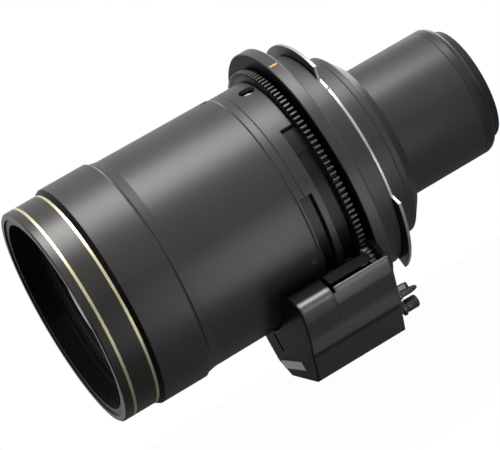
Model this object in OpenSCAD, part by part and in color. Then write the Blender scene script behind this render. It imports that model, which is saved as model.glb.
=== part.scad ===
// Zoom projection lens with a bayonet mount and a motor drive housing.
// The optical axis is Y, with the front at -Y and the rear at +Y. Z is up.
// The origin lies on the axis in the mount plane, which is the rear face of the flange.
// An angle round the axis is counted from +X towards +Z.

/* [Sleeves] */
// Outer radius of the cells that slide inside the cam tube
cell_r = 44.9; // [43:0.1:48]
// Wall of the turning cam tube
cam_wall = 2.2; // [1.8:0.1:3]
// Wall of the fixed guide barrel
guide_wall = 2; // [1.8:0.1:3]
// Wall of the focus drum
drum_wall = 2; // [1.8:0.1:3]
// Space between the focus drum and the covers round it
drum_space = 1; // [0.8:0.1:2]
// Running gap between pieces that turn or slide past each other
gap = 0.3; // [0.2:0.05:0.5]

/* [Front ring] */
// Distance from the mount plane to the front rim
front_reach = 142; // [138:1:160]
// Step of the front ring's radius above the main barrel's
front_ring_step = 0.2; // [0:0.1:1]
// Length of the front ring with the tail that slides in the front barrel
front_ring_l = 26; // [24:0.5:30]
// Width of the front ring's rim, from its outside to the opening
rim_w = 6.3; // [5:0.1:7]
// Depth of the stepped edge on the front face
rim_step = 0.8; // [0.4:0.1:1.2]
// Distance of the first trim line behind the rim
trim_first = 5.1; // [3:0.1:8]
// Distance between the two trim lines
trim_spacing = 12.3; // [8:0.1:14]
// Width of a trim line
trim_w = 1.4; // [0.8:0.1:2]
// Depth of a trim line in the ring
trim_depth = 0.6; // [0.4:0.1:1]
// Number of stray light grooves in the opening
groove_count = 8; // [4:1:9]
// Pitch of the stray light grooves
groove_pitch = 1.1; // [0.8:0.1:1.1]
// Depth of the stray light grooves
groove_depth = 0.7; // [0.4:0.1:1]

/* [Barrels] */
// Distance of the front barrel behind the front rim
front_barrel_set = 18.3; // [17:0.1:20]
// Length of the front barrel
front_barrel_l = 27.4; // [26:0.2:32]
// Wall of the front barrel
front_barrel_wall = 1.45; // [1.2:0.05:2.5]
// Length of the lead-in bevel at the front barrel's mouth
mouth_bevel = 2.1; // [1:0.1:3]
// Length of the collar that joins the front barrel to the main barrel
joint_l = 4.7; // [3:0.1:6]
// Wall that the main barrel's own wall loses under that collar
joint_wall = 1.2; // [0.8:0.1:1.6]
// Wall of the main barrel
main_wall = 2.8; // [2.2:0.1:4]
// Taper of the main barrel's radius over its length
main_taper = 0.9; // [0.4:0.1:1.2]
// Distance of the main barrel's rear end before the mount plane
main_end = 25.8; // [25.4:0.1:27]
// Length of the plain strip at the main barrel's rear end
strip_l = 4; // [3:0.1:6]

/* [Mount] */
// Thickness of the flange
flange_t = 6.6; // [6:0.1:8]
// Overhang of the flange beyond the tips of the zoom ring
flange_lip = 7.15; // [6:0.05:9]
// Wall of the mount spigot
spigot_wall = 7.1; // [6.5:0.1:9]
// Length of the mount spigot behind the flange
spigot_l = 11.7; // [10:0.1:14]
// Thickness of the bayonet ring
bayonet_t = 1.6; // [1.2:0.1:2.5]
// Step of the bayonet ring's base below the spigot
bayonet_step = 1.8; // [1:0.1:2.2]
// Reach of the bayonet lugs beyond the spigot
lug_reach = 5.4; // [4:0.1:6]
// Step of the rear collar's radius below the bayonet ring's base
collar_step = 7; // [6:0.1:9]
// Length of the rear collar
collar_l = 9.5; // [8:0.1:12]
// Length of the shroud behind the rear collar
shroud_l = 9; // [8:0.1:12]

/* [Rear tube] */
// Outer radius of the rear tube
rear_r = 34.1; // [32:0.1:36]
// Wall of the rear tube
rear_wall = 2.6; // [2:0.1:3]
// Distance from the mount plane to the seam of the end ring
rear_seam = 76.2; // [74:0.2:84]
// Length of the end ring
end_ring_l = 6.3; // [5.5:0.1:8]
// Length of the retainer that stands out of the end ring
tip_l = 5.1; // [4:0.1:6]

/* [Zoom] */
// Turn of the zoom ring in degrees
zoom_turn = 60; // [50:1:62]
// Travel of the variator
variator_travel = 16; // [14:0.5:16.5]
// Travel of the compensator
compensator_travel = 6; // [4:0.5:6]
// Radius of the follower pins
pin_r = 2; // [1.6:0.1:2.2]
// Module of the zoom gears
zoom_module = 0.9; // [0.85:0.01:0.95]
// Width of the toothed zoom ring
zoom_ring_w = 3.3; // [2.6:0.1:3.4]
// Height of the zoom ring's teeth above the mount barrel
ring_lift = 5; // [4.6:0.1:5.6]

/* [Focus] */
// Turn of the focus drum in degrees, half of it each way
focus_turn = 40; // [30:1:44]
// Travel of the front lens group, half of it each way
focus_travel = 6; // [4:0.2:6]
// Module of the focus gears
focus_module = 0.6; // [0.56:0.01:0.62]

/* [Drive housing] */
// Length of the housing along the axis
cover_l = 49; // [48.4:0.2:53]
// Wall of the housing's cover
cover_wall = 1.8; // [1.4:0.1:2]
// Room between the motors and the cover
cover_room = 0.9; // [0.8:0.1:2]
// Radius of the two motors
motor_r = 8; // [7:0.1:8.2]
// Length of the two motors
motor_l = 20.6; // [16:0.2:20.8]
// Radius of the gear shafts
shaft_r = 1.5; // [1.2:0.1:1.7]
// Radius of the position sensors
sensor_r = 5.2; // [4:0.1:5.3]
// Length of the guide pins behind the housing
guide_pin_l = 12.4; // [10:0.2:15]
// Radius of the guide pins
guide_pin_r = 1.6; // [1.2:0.1:2]
// Radius of the round connector post
post_r = 3.2; // [2.6:0.1:3.4]
// Length of the round connector post
post_l = 11; // [8:0.2:13]

/* [Hidden] */
$fn = 96;
// Facets of the large spheres that shape the lenses
lens_fn = 240;

// Overrun of a cut past the surface that it opens
over = 1;
// Radial clearance of a shaft in its bearing
running = 0.05;
// Room that a cam slot leaves round a pin, on each side
pin_play = 0.25;

// Radii of the sleeves, from the inside to the outside
cam_in = cell_r + gap;
cam_out = cam_in + cam_wall;
guide_in = cam_out + gap;
guide_out = guide_in + guide_wall;
drum_in = guide_out + gap;
drum_out = drum_in + drum_wall;
cover_in = drum_out + drum_space;
main_r = cover_in + main_wall;
strip_r = main_r - main_taper;
front_ring_r = main_r + front_ring_step;
mouth_r = front_ring_r + gap;
front_barrel_r = mouth_r + front_barrel_wall;
hub_r = cover_in - gap - 0.1 * drum_space;
ring_tip_r = strip_r + ring_lift;
flange_r = ring_tip_r + flange_lip;
spigot_r = guide_out + spigot_wall;
bayonet_r = spigot_r - bayonet_step;
collar_r = bayonet_r - collar_step;
lug_r = spigot_r + lug_reach;

// Stations along the axis
rim_y = -front_reach;
ring_tail_y = rim_y + front_ring_l;
front_barrel_y = rim_y + front_barrel_set;
front_barrel_end = front_barrel_y + front_barrel_l;
main_y = front_barrel_end + gap;
main_end_y = -main_end;
strip_y = main_end_y - strip_l;
flange_y = -flange_t;
bayonet_y = spigot_l;
collar_y = bayonet_y + bayonet_t;
shroud_y = collar_y + collar_l;
shroud_end_y = shroud_y + shroud_l;
end_ring_y = rear_seam + end_ring_l;
tip_y = end_ring_y + tip_l;

// Band and skirt of the mount barrel
band_w = 7;
skirt_w = 6.8;
web_t = 1.9;
web_set = 2;
band_y = main_end_y + band_w;
skirt_y = band_y + skirt_w;
web_y = band_y - web_set - web_t;
notch_top = 26;
notch_bottom = -100;
// Arc slot across the seam, through which the focus pinion reaches the drum
window_set = 3;
window_y = main_end_y - window_set;
window_w = 6.8;
window_top = -8.4;
window_bottom = -100;
seam_bevel = 0.25;
// Rounded-off shoulder at the front barrel's rear end
shoulder_l = 1.2;
shoulder_drop = 0.8;

// Zoom ring
ring_rear_play = 1.4;
ring_y = flange_y - ring_rear_play - zoom_ring_w;
hub_y = web_y + web_t + gap;
hub_end_y = flange_y - gap;
stop_top = 24.4;
stop_bottom = 11.5;
// Height of the ring's stop lug above its hub
stop_lift = 1;
key_r = 1.4;
key_y = hub_end_y - key_r - gap;
key_angles = [60, 180, 300];
key_in_r = cam_in + 0.4 * cam_wall;
key_out_r = hub_r - gap;

// Screws of the zoom ring, reached through round holes in the skirt
access_r = 4.1;
access_rim = 0.4;
access_y = skirt_y - access_r - access_rim;
access_angles = [62, 182, 302];
ring_screw_r = 3;
ring_screw_t = 1.4;
ring_screw_drop = 0.3;

// Small black screws at the main barrel's end
barrel_screw_angles = [-41, 79, 199];
barrel_screw_set = 3.9;
barrel_screw_y = strip_y - barrel_screw_set;
barrel_screw_r = 1.6;
barrel_screw_t = 1.1;

// Cam tube and its moving cells
variator_l = 12;
compensator_l = 10;
compensator_set = 7.5;
travel_clear = 0.9;
cam_lead = 3.4;
cam_tail = 4.4;
compensator_pin_y = key_y - compensator_set;
compensator_y = compensator_pin_y - compensator_l / 2;
variator_y = compensator_y - compensator_travel - travel_clear - variator_travel - variator_l;
variator_pin_y = variator_y + variator_l / 2;
cam_y = variator_y - cam_lead;
cam_end_y = key_y + cam_tail;
variator_angles = [30, 150, 270];
compensator_angles = [90, 210, 330];
cell_wall = 3.9;
// Width of the flat land round a lens face
land = 2;
// Depth of a follower pin in its cell
pin_sink = 2;
cell_bore_r = cell_r - cell_wall;
cell_stop_r = cell_bore_r - land;
pin_out_r = guide_out - gap;
pin_in_r = cell_r - pin_sink;
slot_steps = 14;

// Front lens group
// Share of the rim's width that its raised outer face takes
rim_face_share = 0.48;
// Step down from the front ring's barrel to the tail that the front barrel hides
ring_tail_drop = 1;
ring_tail_r = front_ring_r - ring_tail_drop;
front_cell_set = 12.4;
front_cell_wall = 2.6;
front_bore_l = 11.6;
front_lip_set = 10.6;
seat_step = 1.4;
second_wall = 6.4;
third_wall = 10.4;
shoulder_t = 1.6;
front_pin_set = 9;
front_cell_r = guide_in - gap;
front_cell_y = rim_y + front_cell_set;
front_cell_end = cam_y - focus_travel / 2 - 2 * gap;
front_bore_r = front_cell_r - front_cell_wall;
front_bore_end = front_cell_y + front_bore_l;
front_lip_y = rim_y + front_lip_set;
second_bore_r = front_cell_r - second_wall;
third_bore_r = front_cell_r - third_wall;
front_pin_y = front_cell_end - front_pin_set;
front_angles = [30, 150, 270];
front_pin_out_r = drum_out - gap;
front_pin_in_r = front_cell_r - pin_sink;
front_edge_set = 18.5;
front_edge_y = rim_y + front_edge_set;
front_edge_t = 4.2;
// Curve of the front lens as a share of its radius, which the other lenses scale from
front_curve_share = 2.68;
front_curve = front_curve_share * front_bore_r;
retainer_set = 1;
second_set = 12;
second_y = front_bore_end + second_set;
second_edge_t = 7;
inner_retainer_l = 2.2;
inner_step_y = second_y - inner_retainer_l;
third_y = second_y + second_edge_t;
third_edge_t = 4.6;

// Focus drum
drum_lead = 10;
drum_y = front_pin_y - drum_lead;
drum_end_y = web_y - gap;
sector_w = 4.4;
sector_y = drum_end_y - gap - sector_w;
// Part of a turn that the toothed sector goes on past the travel
sector_spare = 9;
snap_t = 1.2;
snap_drop = 0.6;
snap_r = drum_out - snap_drop;
guide_lead = 1.7;
guide_y = front_barrel_end - guide_lead;
lip_l = 3;

// Mount plate details
bayonet_bore_step = 6;
bayonet_bore_r = collar_r - bayonet_bore_step;
lug_starts = [40.6, -82.5, 160];
lug_ends = [107, -30, 216];
lug_ramp = 3;
bayonet_notch = 33;
bayonet_notch_w = 1;
mark_angle = 51.2;
mark_l = 4.2;
mark_w = 1.3;
mark_t = 0.5;
mark_y = -5.4;
edge_bevel = 0.6;
fix_screw_r = 2;
fix_shank_r = 1.5;
fix_head_t = 1.1;
fix_count = 6;
fix_circle_r = (guide_out + bayonet_r) / 2;
fix_start = 20;

// Rear lens group
rear_bore_r = rear_r - rear_wall;
rear_foot_y = 2;
rear_foot_l = 4;
// Share of the shroud cone's fall that is left at its rear end
shroud_foot_share = 0.45;
shroud_foot_r = rear_r + shroud_foot_share * (collar_r - rear_r);
// Radius of the rear tube where the collar and shroud hold it
rear_seat_drop = 1;
rear_seat_r = rear_r - rear_seat_drop;
// Reach of that seat behind the shroud
rear_seat_lag = 0.5;
rear_seat_end = shroud_end_y + rear_seat_lag;
relay_y = 38;
relay_edge_t = 5;
relay_spacer_l = 18;
field_y = relay_y + relay_edge_t + relay_spacer_l;
field_edge_t = 4;
tip_step = 3.1;
tip_wall = 4.2;
tip_seat_set = 2.6;
tip_round = 2;
tip_lip = 0.6;
tip_r = rear_r - tip_step;
tip_bore_r = tip_r - tip_wall;
tip_seat_y = end_ring_y - tip_seat_set;
rear_edge_t = 3;

// Gears
pressure = 25;
mesh_slack = 0.05;
backlash = 0.12;
root_share = 1.2;
zoom_ring_teeth = round(2 * ring_tip_r / zoom_module - 2);
zoom_pinion_teeth = 14;
zoom_motor_teeth = 16;
zoom_sensor_teeth = 16;
sector_clear = 0.5;
sector_tip_r = cover_in - sector_clear;
focus_ring_teeth = round(2 * sector_tip_r / focus_module - 2);
focus_pinion_teeth = 20;
focus_motor_teeth = 24;
focus_sensor_teeth = 20;
function pitch_r(m, z) = m * z / 2;
zoom_gear_l = 3.2;
zoom_gear_lead = 1.1;
zoom_gear_y = ring_y - zoom_gear_lead;
sensor_gear_l = 1.8;
sensor_gear_lag = 0.2;
sensor_gear_y = ring_y + sensor_gear_lag;
focus_gear_l = sector_w;
focus_gear_y = sector_y;
pinion_angle = -49;
focus_angle = -88;
zoom_sensor_angle = -76;
motor_turn = 9.2;
focus_sensor_turn = -96;
function spot(r, angle) = [r * cos(angle), r * sin(angle)];
zoom_pinion_at = spot(pitch_r(zoom_module, zoom_ring_teeth + zoom_pinion_teeth) + mesh_slack, pinion_angle);
zoom_motor_dir = pinion_angle - 90 + motor_turn + 8;
zoom_motor_step = pitch_r(zoom_module, zoom_pinion_teeth + zoom_motor_teeth) + mesh_slack;
zoom_motor_at = zoom_pinion_at + spot(zoom_motor_step, zoom_motor_dir);
zoom_sensor_step = pitch_r(zoom_module, zoom_ring_teeth + zoom_sensor_teeth) + mesh_slack;
zoom_sensor_at = spot(zoom_sensor_step, zoom_sensor_angle);
focus_pinion_step = pitch_r(focus_module, focus_ring_teeth + focus_pinion_teeth) + mesh_slack;
focus_pinion_at = spot(focus_pinion_step, focus_angle);
focus_motor_step = pitch_r(focus_module, focus_pinion_teeth + focus_motor_teeth) + mesh_slack;
focus_motor_at = focus_pinion_at + spot(focus_motor_step, focus_angle);
focus_sensor_step = pitch_r(focus_module, focus_motor_teeth + focus_sensor_teeth) + mesh_slack;
focus_sensor_dir = focus_angle + focus_sensor_turn;
focus_sensor_at = focus_motor_at + spot(focus_sensor_step, focus_sensor_dir);

// Drive housing
cover_end_y = flange_y - 2 * gap;
cover_y = cover_end_y - cover_l;
cover_depth = norm(focus_motor_at) + motor_r + cover_room + cover_wall;
near_shares = [
  [0.400, -0.540], [0.620, -0.540], [0.724, -0.629], [0.656, -0.724],
  [0.534, -0.846], [0.464, -0.886], [0.366, -0.979], [0.270, -1.055]
];
rear_shares = [
  [0.400, -0.540], [0.620, -0.540], [0.732, -0.612], [0.672, -0.712],
  [0.534, -0.846], [0.464, -0.886], [0.366, -0.979], [0.270, -1.055]
];
far_shares = [[-0.221, -0.969], [-0.319, -0.854], [-0.300, -0.640], [-0.285, -0.550]];
corner_share = 0.04;
fine_corner_share = 0.011;
plate_t = 2;
first_plate_set = 23.7;
first_plate_y = cover_y + first_plate_set;
second_plate_y = band_y - plate_t + 0.3 * gap;
saddle_gap = 0.5;
saddle_in_r = main_r + saddle_gap;
saddle_t = 1.5;
gear_room_r = ring_tip_r + 2 * gap;
rail_t = 1.6;
slot_gap = 1.6;
slot_set = 17.8;
slot_at = cover_y + slot_set;
slot_drop = 0.105 * cover_depth;
ridge_z = near_shares[1][1] * cover_depth;
gap_z = ridge_z - 0.053 * cover_depth;
pinion_window_y = zoom_gear_y - 2 * gap;
// Length of the cover ahead of the pinion window that is bored out for the zoom ring
ring_room_l = 3;
bracket_shares = [
  [0.47, -0.66], [0.51, -0.49], [0.60, -0.49], [0.665, -0.55], [0.665, -0.60], [0.61, -0.60], [0.61, -0.67]
];
saddle_from = -106;
saddle_to = -57.5;
// Angle up to which the saddle carries the top rail, behind the slot
rail_foot = -53;
boss_r = 3;
boss_sets = [11.7, 41.7];
boss_ys = [for (d = boss_sets) cover_y + d];
cover_screw_r = 2.4;
cover_screw_t = 1.2;
cover_screw_core_r = 1.1;
screw_grip = 6;
label_l = 34;
label_h = 4.5;
label_t = 0.5;
label_tilt = -7;
label_shares = [-0.061, -0.912];
latch_w = 3;
latch_h = 9.6;
latch_depth = 0.9;
latch_shares = [-0.087, -0.760];

// Connector at the back of the housing
socket_t = 2.6;
socket_shares = [[0.40, -0.80], [0.44, -0.83], [0.36, -0.96], [0.05, -1.00], [0.05, -0.90]];
contact_l = 8.4;
contact_w = 9;
contact_h = 2.9;
contact_shares = [0.33, -0.83];
post_shares = [0.33, -0.935];
pin_shares = [[0.395, -0.862], [0.12, -0.945]];
pin_tip_share = 0.55;
pin_taper_l = 4;

function unit(v) = v / norm(v);
function normal_of(a, b) = unit([b[1] - a[1], a[0] - b[0]]);
// Moves each corner of a clockwise outline inwards by d
function inset(pts, d) = [
  for (i = [0:len(pts) - 1])
    let (
      before = pts[(i + len(pts) - 1) % len(pts)],
      here = pts[i],
      after = pts[(i + 1) % len(pts)],
      n0 = normal_of(before, here),
      n1 = normal_of(here, after)
    )
    here + (n0 + n1) * d / (1 + n0 * n1)
];
// Rounds each corner of an outline with a short arc of the given radius
function rounded(pts, r, steps = 5) = [
  for (i = [0:len(pts) - 1])
    let (
      before = pts[(i + len(pts) - 1) % len(pts)],
      here = pts[i],
      after = pts[(i + 1) % len(pts)],
      u = unit(before - here),
      v = unit(after - here),
      half = acos(max(-1, min(1, u * v))) / 2,
      reach = r / tan(half),
      centre = here + unit(u + v) * r / sin(half),
      p = here + u * reach - centre,
      q = here + v * reach - centre,
      turn = atan2(p[0] * q[1] - p[1] * q[0], p * q)
    )
    for (k = [0:steps])
      let (a = turn * k / steps)
      centre + [p[0] * cos(a) - p[1] * sin(a), p[0] * sin(a) + p[1] * cos(a)]
];
// Direction and distance of the housing's bottom face
bottom_corner = near_shares[len(near_shares) - 1];
bottom_normal = normal_of(far_shares[0], bottom_corner);
bottom_angle = atan2(bottom_normal[1], bottom_normal[0]);
bottom_d = bottom_normal * bottom_corner * cover_depth;
function scaled(shares, size) = [for (s = shares) s * size];
function cover_outline(shares) = scaled(concat(shares, far_shares), cover_depth);

// Half of a tooth's angle at radius r on an involute gear
function inv_deg(a) = tan(a) * 180 / PI - a;
function tooth_half(m, z, r) =
  let (
    pr = pitch_r(m, z),
    base = pr * cos(pressure),
    at_pitch = (PI * m / 2 - backlash) / (2 * pr) * 180 / PI
  )
  at_pitch + inv_deg(pressure) - inv_deg(acos(min(1, base / r)));
function gear_outline(m, z, phase, flanks) =
  let (
    tip = pitch_r(m, z) + m,
    root = pitch_r(m, z) - root_share * m,
    base = pitch_r(m, z) * cos(pressure),
    low = max(root, base),
    radii = concat([root], [for (k = [root < base ? 0 : 1:flanks]) low + (tip - low) * k / flanks])
  )
  [
    for (i = [0:z - 1])
      let (centre = phase + 360 * i / z)
      for (side = [-1, 1])
        for (k = [0:len(radii) - 1])
          let (
            r = radii[side < 0 ? k : len(radii) - 1 - k],
            a = centre + side * tooth_half(m, z, max(r, low))
          )
          spot(r, a)
  ];
// Phase of a follower gear so that its gap faces a tooth of its driver.
// The driver has a tooth at driver_phase, and the line of centres points at direction.
function meshed(direction, driver_z, driver_phase, z) =
  let (
    pitch = 360 / driver_z,
    lead = (direction - driver_phase) / pitch,
    off = (round(lead) - lead) * pitch
  )
  direction + 180 + 180 / z - off * driver_z / z;

zoom_ring_phase = pinion_angle;
zoom_pinion_phase = meshed(pinion_angle, zoom_ring_teeth, zoom_ring_phase, zoom_pinion_teeth);
zoom_motor_phase = meshed(zoom_motor_dir, zoom_pinion_teeth, zoom_pinion_phase, zoom_motor_teeth);
zoom_sensor_phase = meshed(zoom_sensor_angle, zoom_ring_teeth, zoom_ring_phase, zoom_sensor_teeth);
focus_pinion_phase = meshed(focus_angle, focus_ring_teeth, focus_angle, focus_pinion_teeth);
focus_motor_phase = meshed(focus_angle, focus_pinion_teeth, focus_pinion_phase, focus_motor_teeth);
focus_sensor_phase = meshed(focus_sensor_dir, focus_motor_teeth, focus_motor_phase, focus_sensor_teeth);

// Places what is drawn along +X at an angle round the axis
module at(angle) {
  rotate([0, -angle, 0]) children();
}

// Extrudes a drawing made in X and Z from y0 to y1
module slab(y0, y1) {
  translate([0, y1, 0]) rotate([90, 0, 0]) linear_extrude(height = y1 - y0) children();
}

// Turns a profile of [radius, y] points round the axis
module turned(points) {
  rotate([-90, 0, 0]) rotate_extrude() polygon(points);
}

module rod(y0, y1, r) {
  translate([0, y0, 0]) rotate([-90, 0, 0]) cylinder(h = y1 - y0, r = r);
}

module rod_at(spot_xz, y0, y1, r) {
  translate([spot_xz[0], 0, spot_xz[1]]) rod(y0, y1, r);
}

module tube(y0, y1, outer, inner) {
  turned([[inner, y0], [outer, y0], [outer, y1], [inner, y1]]);
}

// Cylinder that points away from the axis
module radial(angle, y, r0, r1, r) {
  at(angle) translate([r0, y, 0]) rotate([0, 90, 0]) cylinder(h = r1 - r0, r = r);
}

module wedge(r, low, high) {
  steps = ceil((high - low) / 40);
  turn = (high - low) / steps;
  polygon(concat([[0, 0]], [for (i = [0:steps]) spot(r / cos(turn / 2), low + turn * i)]));
}

module arc_band(outer, inner, low, high) {
  intersection() {
    difference() {
      circle(outer);
      circle(inner);
    }
    wedge(outer + over, low, high);
  }
}

// Straight slot along the axis with round ends
module guide_slot(angle, y0, y1, r) {
  radial(angle, y0, guide_in - over, guide_out + over, r);
  radial(angle, y1, guide_in - over, guide_out + over, r);
  at(angle) translate([guide_in - over, y0, -r]) cube([guide_wall + 2 * over, y1 - y0, 2 * r]);
}

// Cam slot that runs from one angle to a larger one while y goes from y0 to y1
module cam_slot(inner, outer, angle0, angle1, y0, y1) {
  r0 = inner - over / 2;
  r1 = outer + over / 2;
  lean = atan2(abs(y1 - y0), inner * abs(angle1 - angle0) * PI / 180);
  half = (pin_r + pin_play) / cos(lean);
  function ring(i) =
    let (a = angle0 + (angle1 - angle0) * i / slot_steps, y = y0 + (y1 - y0) * i / slot_steps)
    [for (c = [[r0, -half], [r1, -half], [r1, half], [r0, half]]) [c[0] * cos(a), y + c[1], c[0] * sin(a)]];
  points = [for (i = [0:slot_steps]) each ring(i)];
  sides = [
    for (i = [0:slot_steps - 1])
      for (k = [0:3])
        let (a = 4 * i + k, b = 4 * i + (k + 1) % 4)
        each [[b + 4, b, a], [a + 4, b + 4, a]]
  ];
  last = 4 * slot_steps;
  caps = [[0, 1, 2], [0, 2, 3], [last + 2, last + 1, last], [last + 3, last + 2, last]];
  polyhedron(points, concat(sides, caps));
  radial(angle0, y0, r0, r1, pin_r + pin_play);
  radial(angle1, y1, r0, r1, pin_r + pin_play);
}

// Lens with a flat land round each of its spherical faces.
// A positive curve bulges out of its side and a negative one sinks into it.
module lens(r, land, y0, y1, front_curve_r, rear_curve_r) {
  clear = r - land;
  function rise(curve) = abs(curve) - sqrt(curve * curve - clear * clear);
  difference() {
    union() {
      rod(y0, y1, r);
      if (front_curve_r > 0)
        intersection() {
          rod(y0 - rise(front_curve_r), (y0 + y1) / 2, clear);
          translate([0, y0 - rise(front_curve_r) + front_curve_r, 0]) sphere(front_curve_r, $fn = lens_fn);
        }
      if (rear_curve_r > 0)
        intersection() {
          rod((y0 + y1) / 2, y1 + rise(rear_curve_r), clear);
          translate([0, y1 + rise(rear_curve_r) - rear_curve_r, 0]) sphere(rear_curve_r, $fn = lens_fn);
        }
    }
    if (front_curve_r < 0)
      translate([0, y0 + rise(front_curve_r) + front_curve_r, 0]) sphere(-front_curve_r, $fn = lens_fn);
    if (rear_curve_r < 0)
      translate([0, y1 - rise(rear_curve_r) - rear_curve_r, 0]) sphere(-rear_curve_r, $fn = lens_fn);
  }
}

// Cross recess of a small screw, drawn along +X at the top of its head
module cross_recess(r, depth) {
  for (turn = [0, 90])
    rotate([turn, 0, 0]) translate([-depth, -r, -0.15 * r]) cube([depth + over, 2 * r, 0.3 * r]);
}

module front_ring() {
  rim_r = front_ring_r - rim_face_share * rim_w;
  opening_r = front_ring_r - rim_w;
  ring_step_y = rim_y + trim_first + trim_spacing + trim_w / 2;
  color([0.09, 0.09, 0.1]) difference() {
    turned([
      [opening_r, rim_y + rim_step], [rim_r, rim_y + rim_step], [rim_r, rim_y],
      [front_ring_r - edge_bevel, rim_y], [front_ring_r, rim_y + edge_bevel],
      [front_ring_r, ring_step_y], [ring_tail_r, ring_step_y], [ring_tail_r, ring_tail_y],
      [front_cell_r, ring_tail_y], [front_cell_r, front_lip_y],
      [opening_r, front_lip_y]
    ]);
    for (i = [0:groove_count - 1]) {
      y = rim_y + rim_step + groove_pitch * (i + 0.5);
      turned([[opening_r - over, y], [opening_r + groove_depth, y + groove_pitch / 2], [opening_r - over, y + groove_pitch]]);
    }
    for (y = [trim_first, trim_first + trim_spacing])
      tube(rim_y + y - trim_w / 2, rim_y + y + trim_w / 2, front_ring_r + over, front_ring_r - trim_depth);
  }
}

module trim_lines() {
  color([0.86, 0.8, 0.6])
    for (y = [trim_first, trim_first + trim_spacing])
      tube(rim_y + y - trim_w / 2, rim_y + y + trim_w / 2, front_ring_r + trim_depth / 10, front_ring_r - trim_depth);
}

module front_retainer() {
  color([0.07, 0.07, 0.08])
    turned([
      [front_bore_r - land, front_edge_y], [front_bore_r, front_edge_y],
      [front_bore_r, front_cell_y + retainer_set], [front_bore_r - land / 2, front_cell_y + retainer_set],
      [front_bore_r - land, front_cell_y + 2 * retainer_set]
    ]);
}

module front_cell() {
  color([0.12, 0.12, 0.13]) difference() {
    turned([
      [front_bore_r, front_cell_y], [front_cell_r, front_cell_y], [front_cell_r, front_cell_end],
      [third_bore_r, front_cell_end], [third_bore_r, third_y + third_edge_t + shoulder_t],
      [third_bore_r - shoulder_t, third_y + third_edge_t + shoulder_t],
      [third_bore_r - shoulder_t, third_y + third_edge_t],
      [second_bore_r, third_y + third_edge_t], [second_bore_r, inner_step_y],
      [front_bore_r - seat_step, inner_step_y], [front_bore_r - seat_step, front_edge_y + front_edge_t],
      [front_bore_r, front_edge_y + front_edge_t]
    ]);
    for (a = front_angles) radial(a, front_pin_y, front_pin_in_r, front_cell_r + over, pin_r);
  }
}

module front_lens() {
  color([0.6, 0.6, 0.85, 0.5])
    lens(front_bore_r, land, front_edge_y, front_edge_y + front_edge_t, front_curve, -2.2 * front_curve);
}

module second_lens() {
  color([0.6, 0.6, 0.85, 0.5])
    lens(second_bore_r, land, second_y, third_y, 1.3 * front_curve, -1.1 * front_curve);
}

module inner_retainer() {
  color([0.1, 0.1, 0.11]) tube(inner_step_y, second_y, second_bore_r, second_bore_r - land);
}

module third_lens() {
  color([0.6, 0.6, 0.85, 0.5])
    lens(second_bore_r, land, third_y, third_y + third_edge_t, 0, -2.2 * front_curve);
}

module front_pins() {
  color([0.75, 0.74, 0.7])
    for (a = front_angles) radial(a, front_pin_y, front_pin_in_r, front_pin_out_r, pin_r);
}

module focus_drum() {
  half_turn = focus_turn / 2;
  half_travel = focus_travel / 2;
  teeth_half = ceil((half_turn + sector_spare) * focus_ring_teeth / 360);
  sector_half = (teeth_half + 0.8) * 360 / focus_ring_teeth;
  root = pitch_r(focus_module, focus_ring_teeth) - root_share * focus_module;
  tip = pitch_r(focus_module, focus_ring_teeth) + focus_module;
  color([0.16, 0.16, 0.18]) {
    difference() {
      tube(drum_y, drum_end_y, drum_out, drum_in);
      for (a = front_angles)
        cam_slot(drum_in, drum_out, a - half_turn, a + half_turn, front_pin_y + half_travel, front_pin_y - half_travel);
      slab(sector_y - gap, sector_y + sector_w + gap)
        arc_band(drum_out + over, root, focus_angle - sector_half, focus_angle + sector_half);
    }
    slab(sector_y, sector_y + sector_w)
      for (i = [-teeth_half:teeth_half]) {
        low = drum_in + drum_wall / 4;
        a = focus_angle + i * 360 / focus_ring_teeth;
        foot = tooth_half(focus_module, focus_ring_teeth, root);
        head = tooth_half(focus_module, focus_ring_teeth, tip);
        polygon([spot(low, a - foot), spot(root, a - foot), spot(tip, a - head),
                 spot(tip, a + head), spot(root, a + foot), spot(low, a + foot)]);
      }
  }
}

module drum_snap_ring() {
  color([0.6, 0.6, 0.62])
    slab(drum_y - gap - snap_t, drum_y - gap) arc_band(snap_r, guide_out, -75, 255);
}

module front_barrel() {
  collar_y0 = front_barrel_end - joint_l;
  color([0.2, 0.2, 0.21])
    turned([
      [mouth_r, front_barrel_y], [front_barrel_r, front_barrel_y + mouth_bevel],
      [front_barrel_r, front_barrel_end - shoulder_l], [front_barrel_r - shoulder_drop, front_barrel_end],
      [main_r - joint_wall, front_barrel_end], [main_r - joint_wall, collar_y0], [mouth_r, collar_y0]
    ]);
}

module barrel_windows() {
  slab(window_y, window_y + window_w)
    arc_band(front_barrel_r, drum_in, window_bottom, window_top);
}

module main_barrel() {
  spigot_y = front_barrel_end - joint_l;
  color([0.2, 0.2, 0.21]) difference() {
    turned([
      [cover_in, spigot_y], [main_r - joint_wall, spigot_y], [main_r - joint_wall, main_y],
      [front_barrel_r - shoulder_drop - seam_bevel, main_y], [main_r, main_y + 4 * shoulder_l],
      [strip_r + 2 * seam_bevel, strip_y - 4 * seam_bevel], [strip_r, strip_y], [strip_r, main_end_y - seam_bevel],
      [strip_r - seam_bevel, main_end_y], [cover_in, main_end_y],
      [cover_in, main_y + lip_l], [guide_out, main_y + lip_l], [guide_out, main_y], [cover_in, main_y]
    ]);
    barrel_windows();
    for (a = barrel_screw_angles)
      radial(a, barrel_screw_y, strip_r - barrel_screw_t, main_r + over, barrel_screw_r);
  }
}

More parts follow.
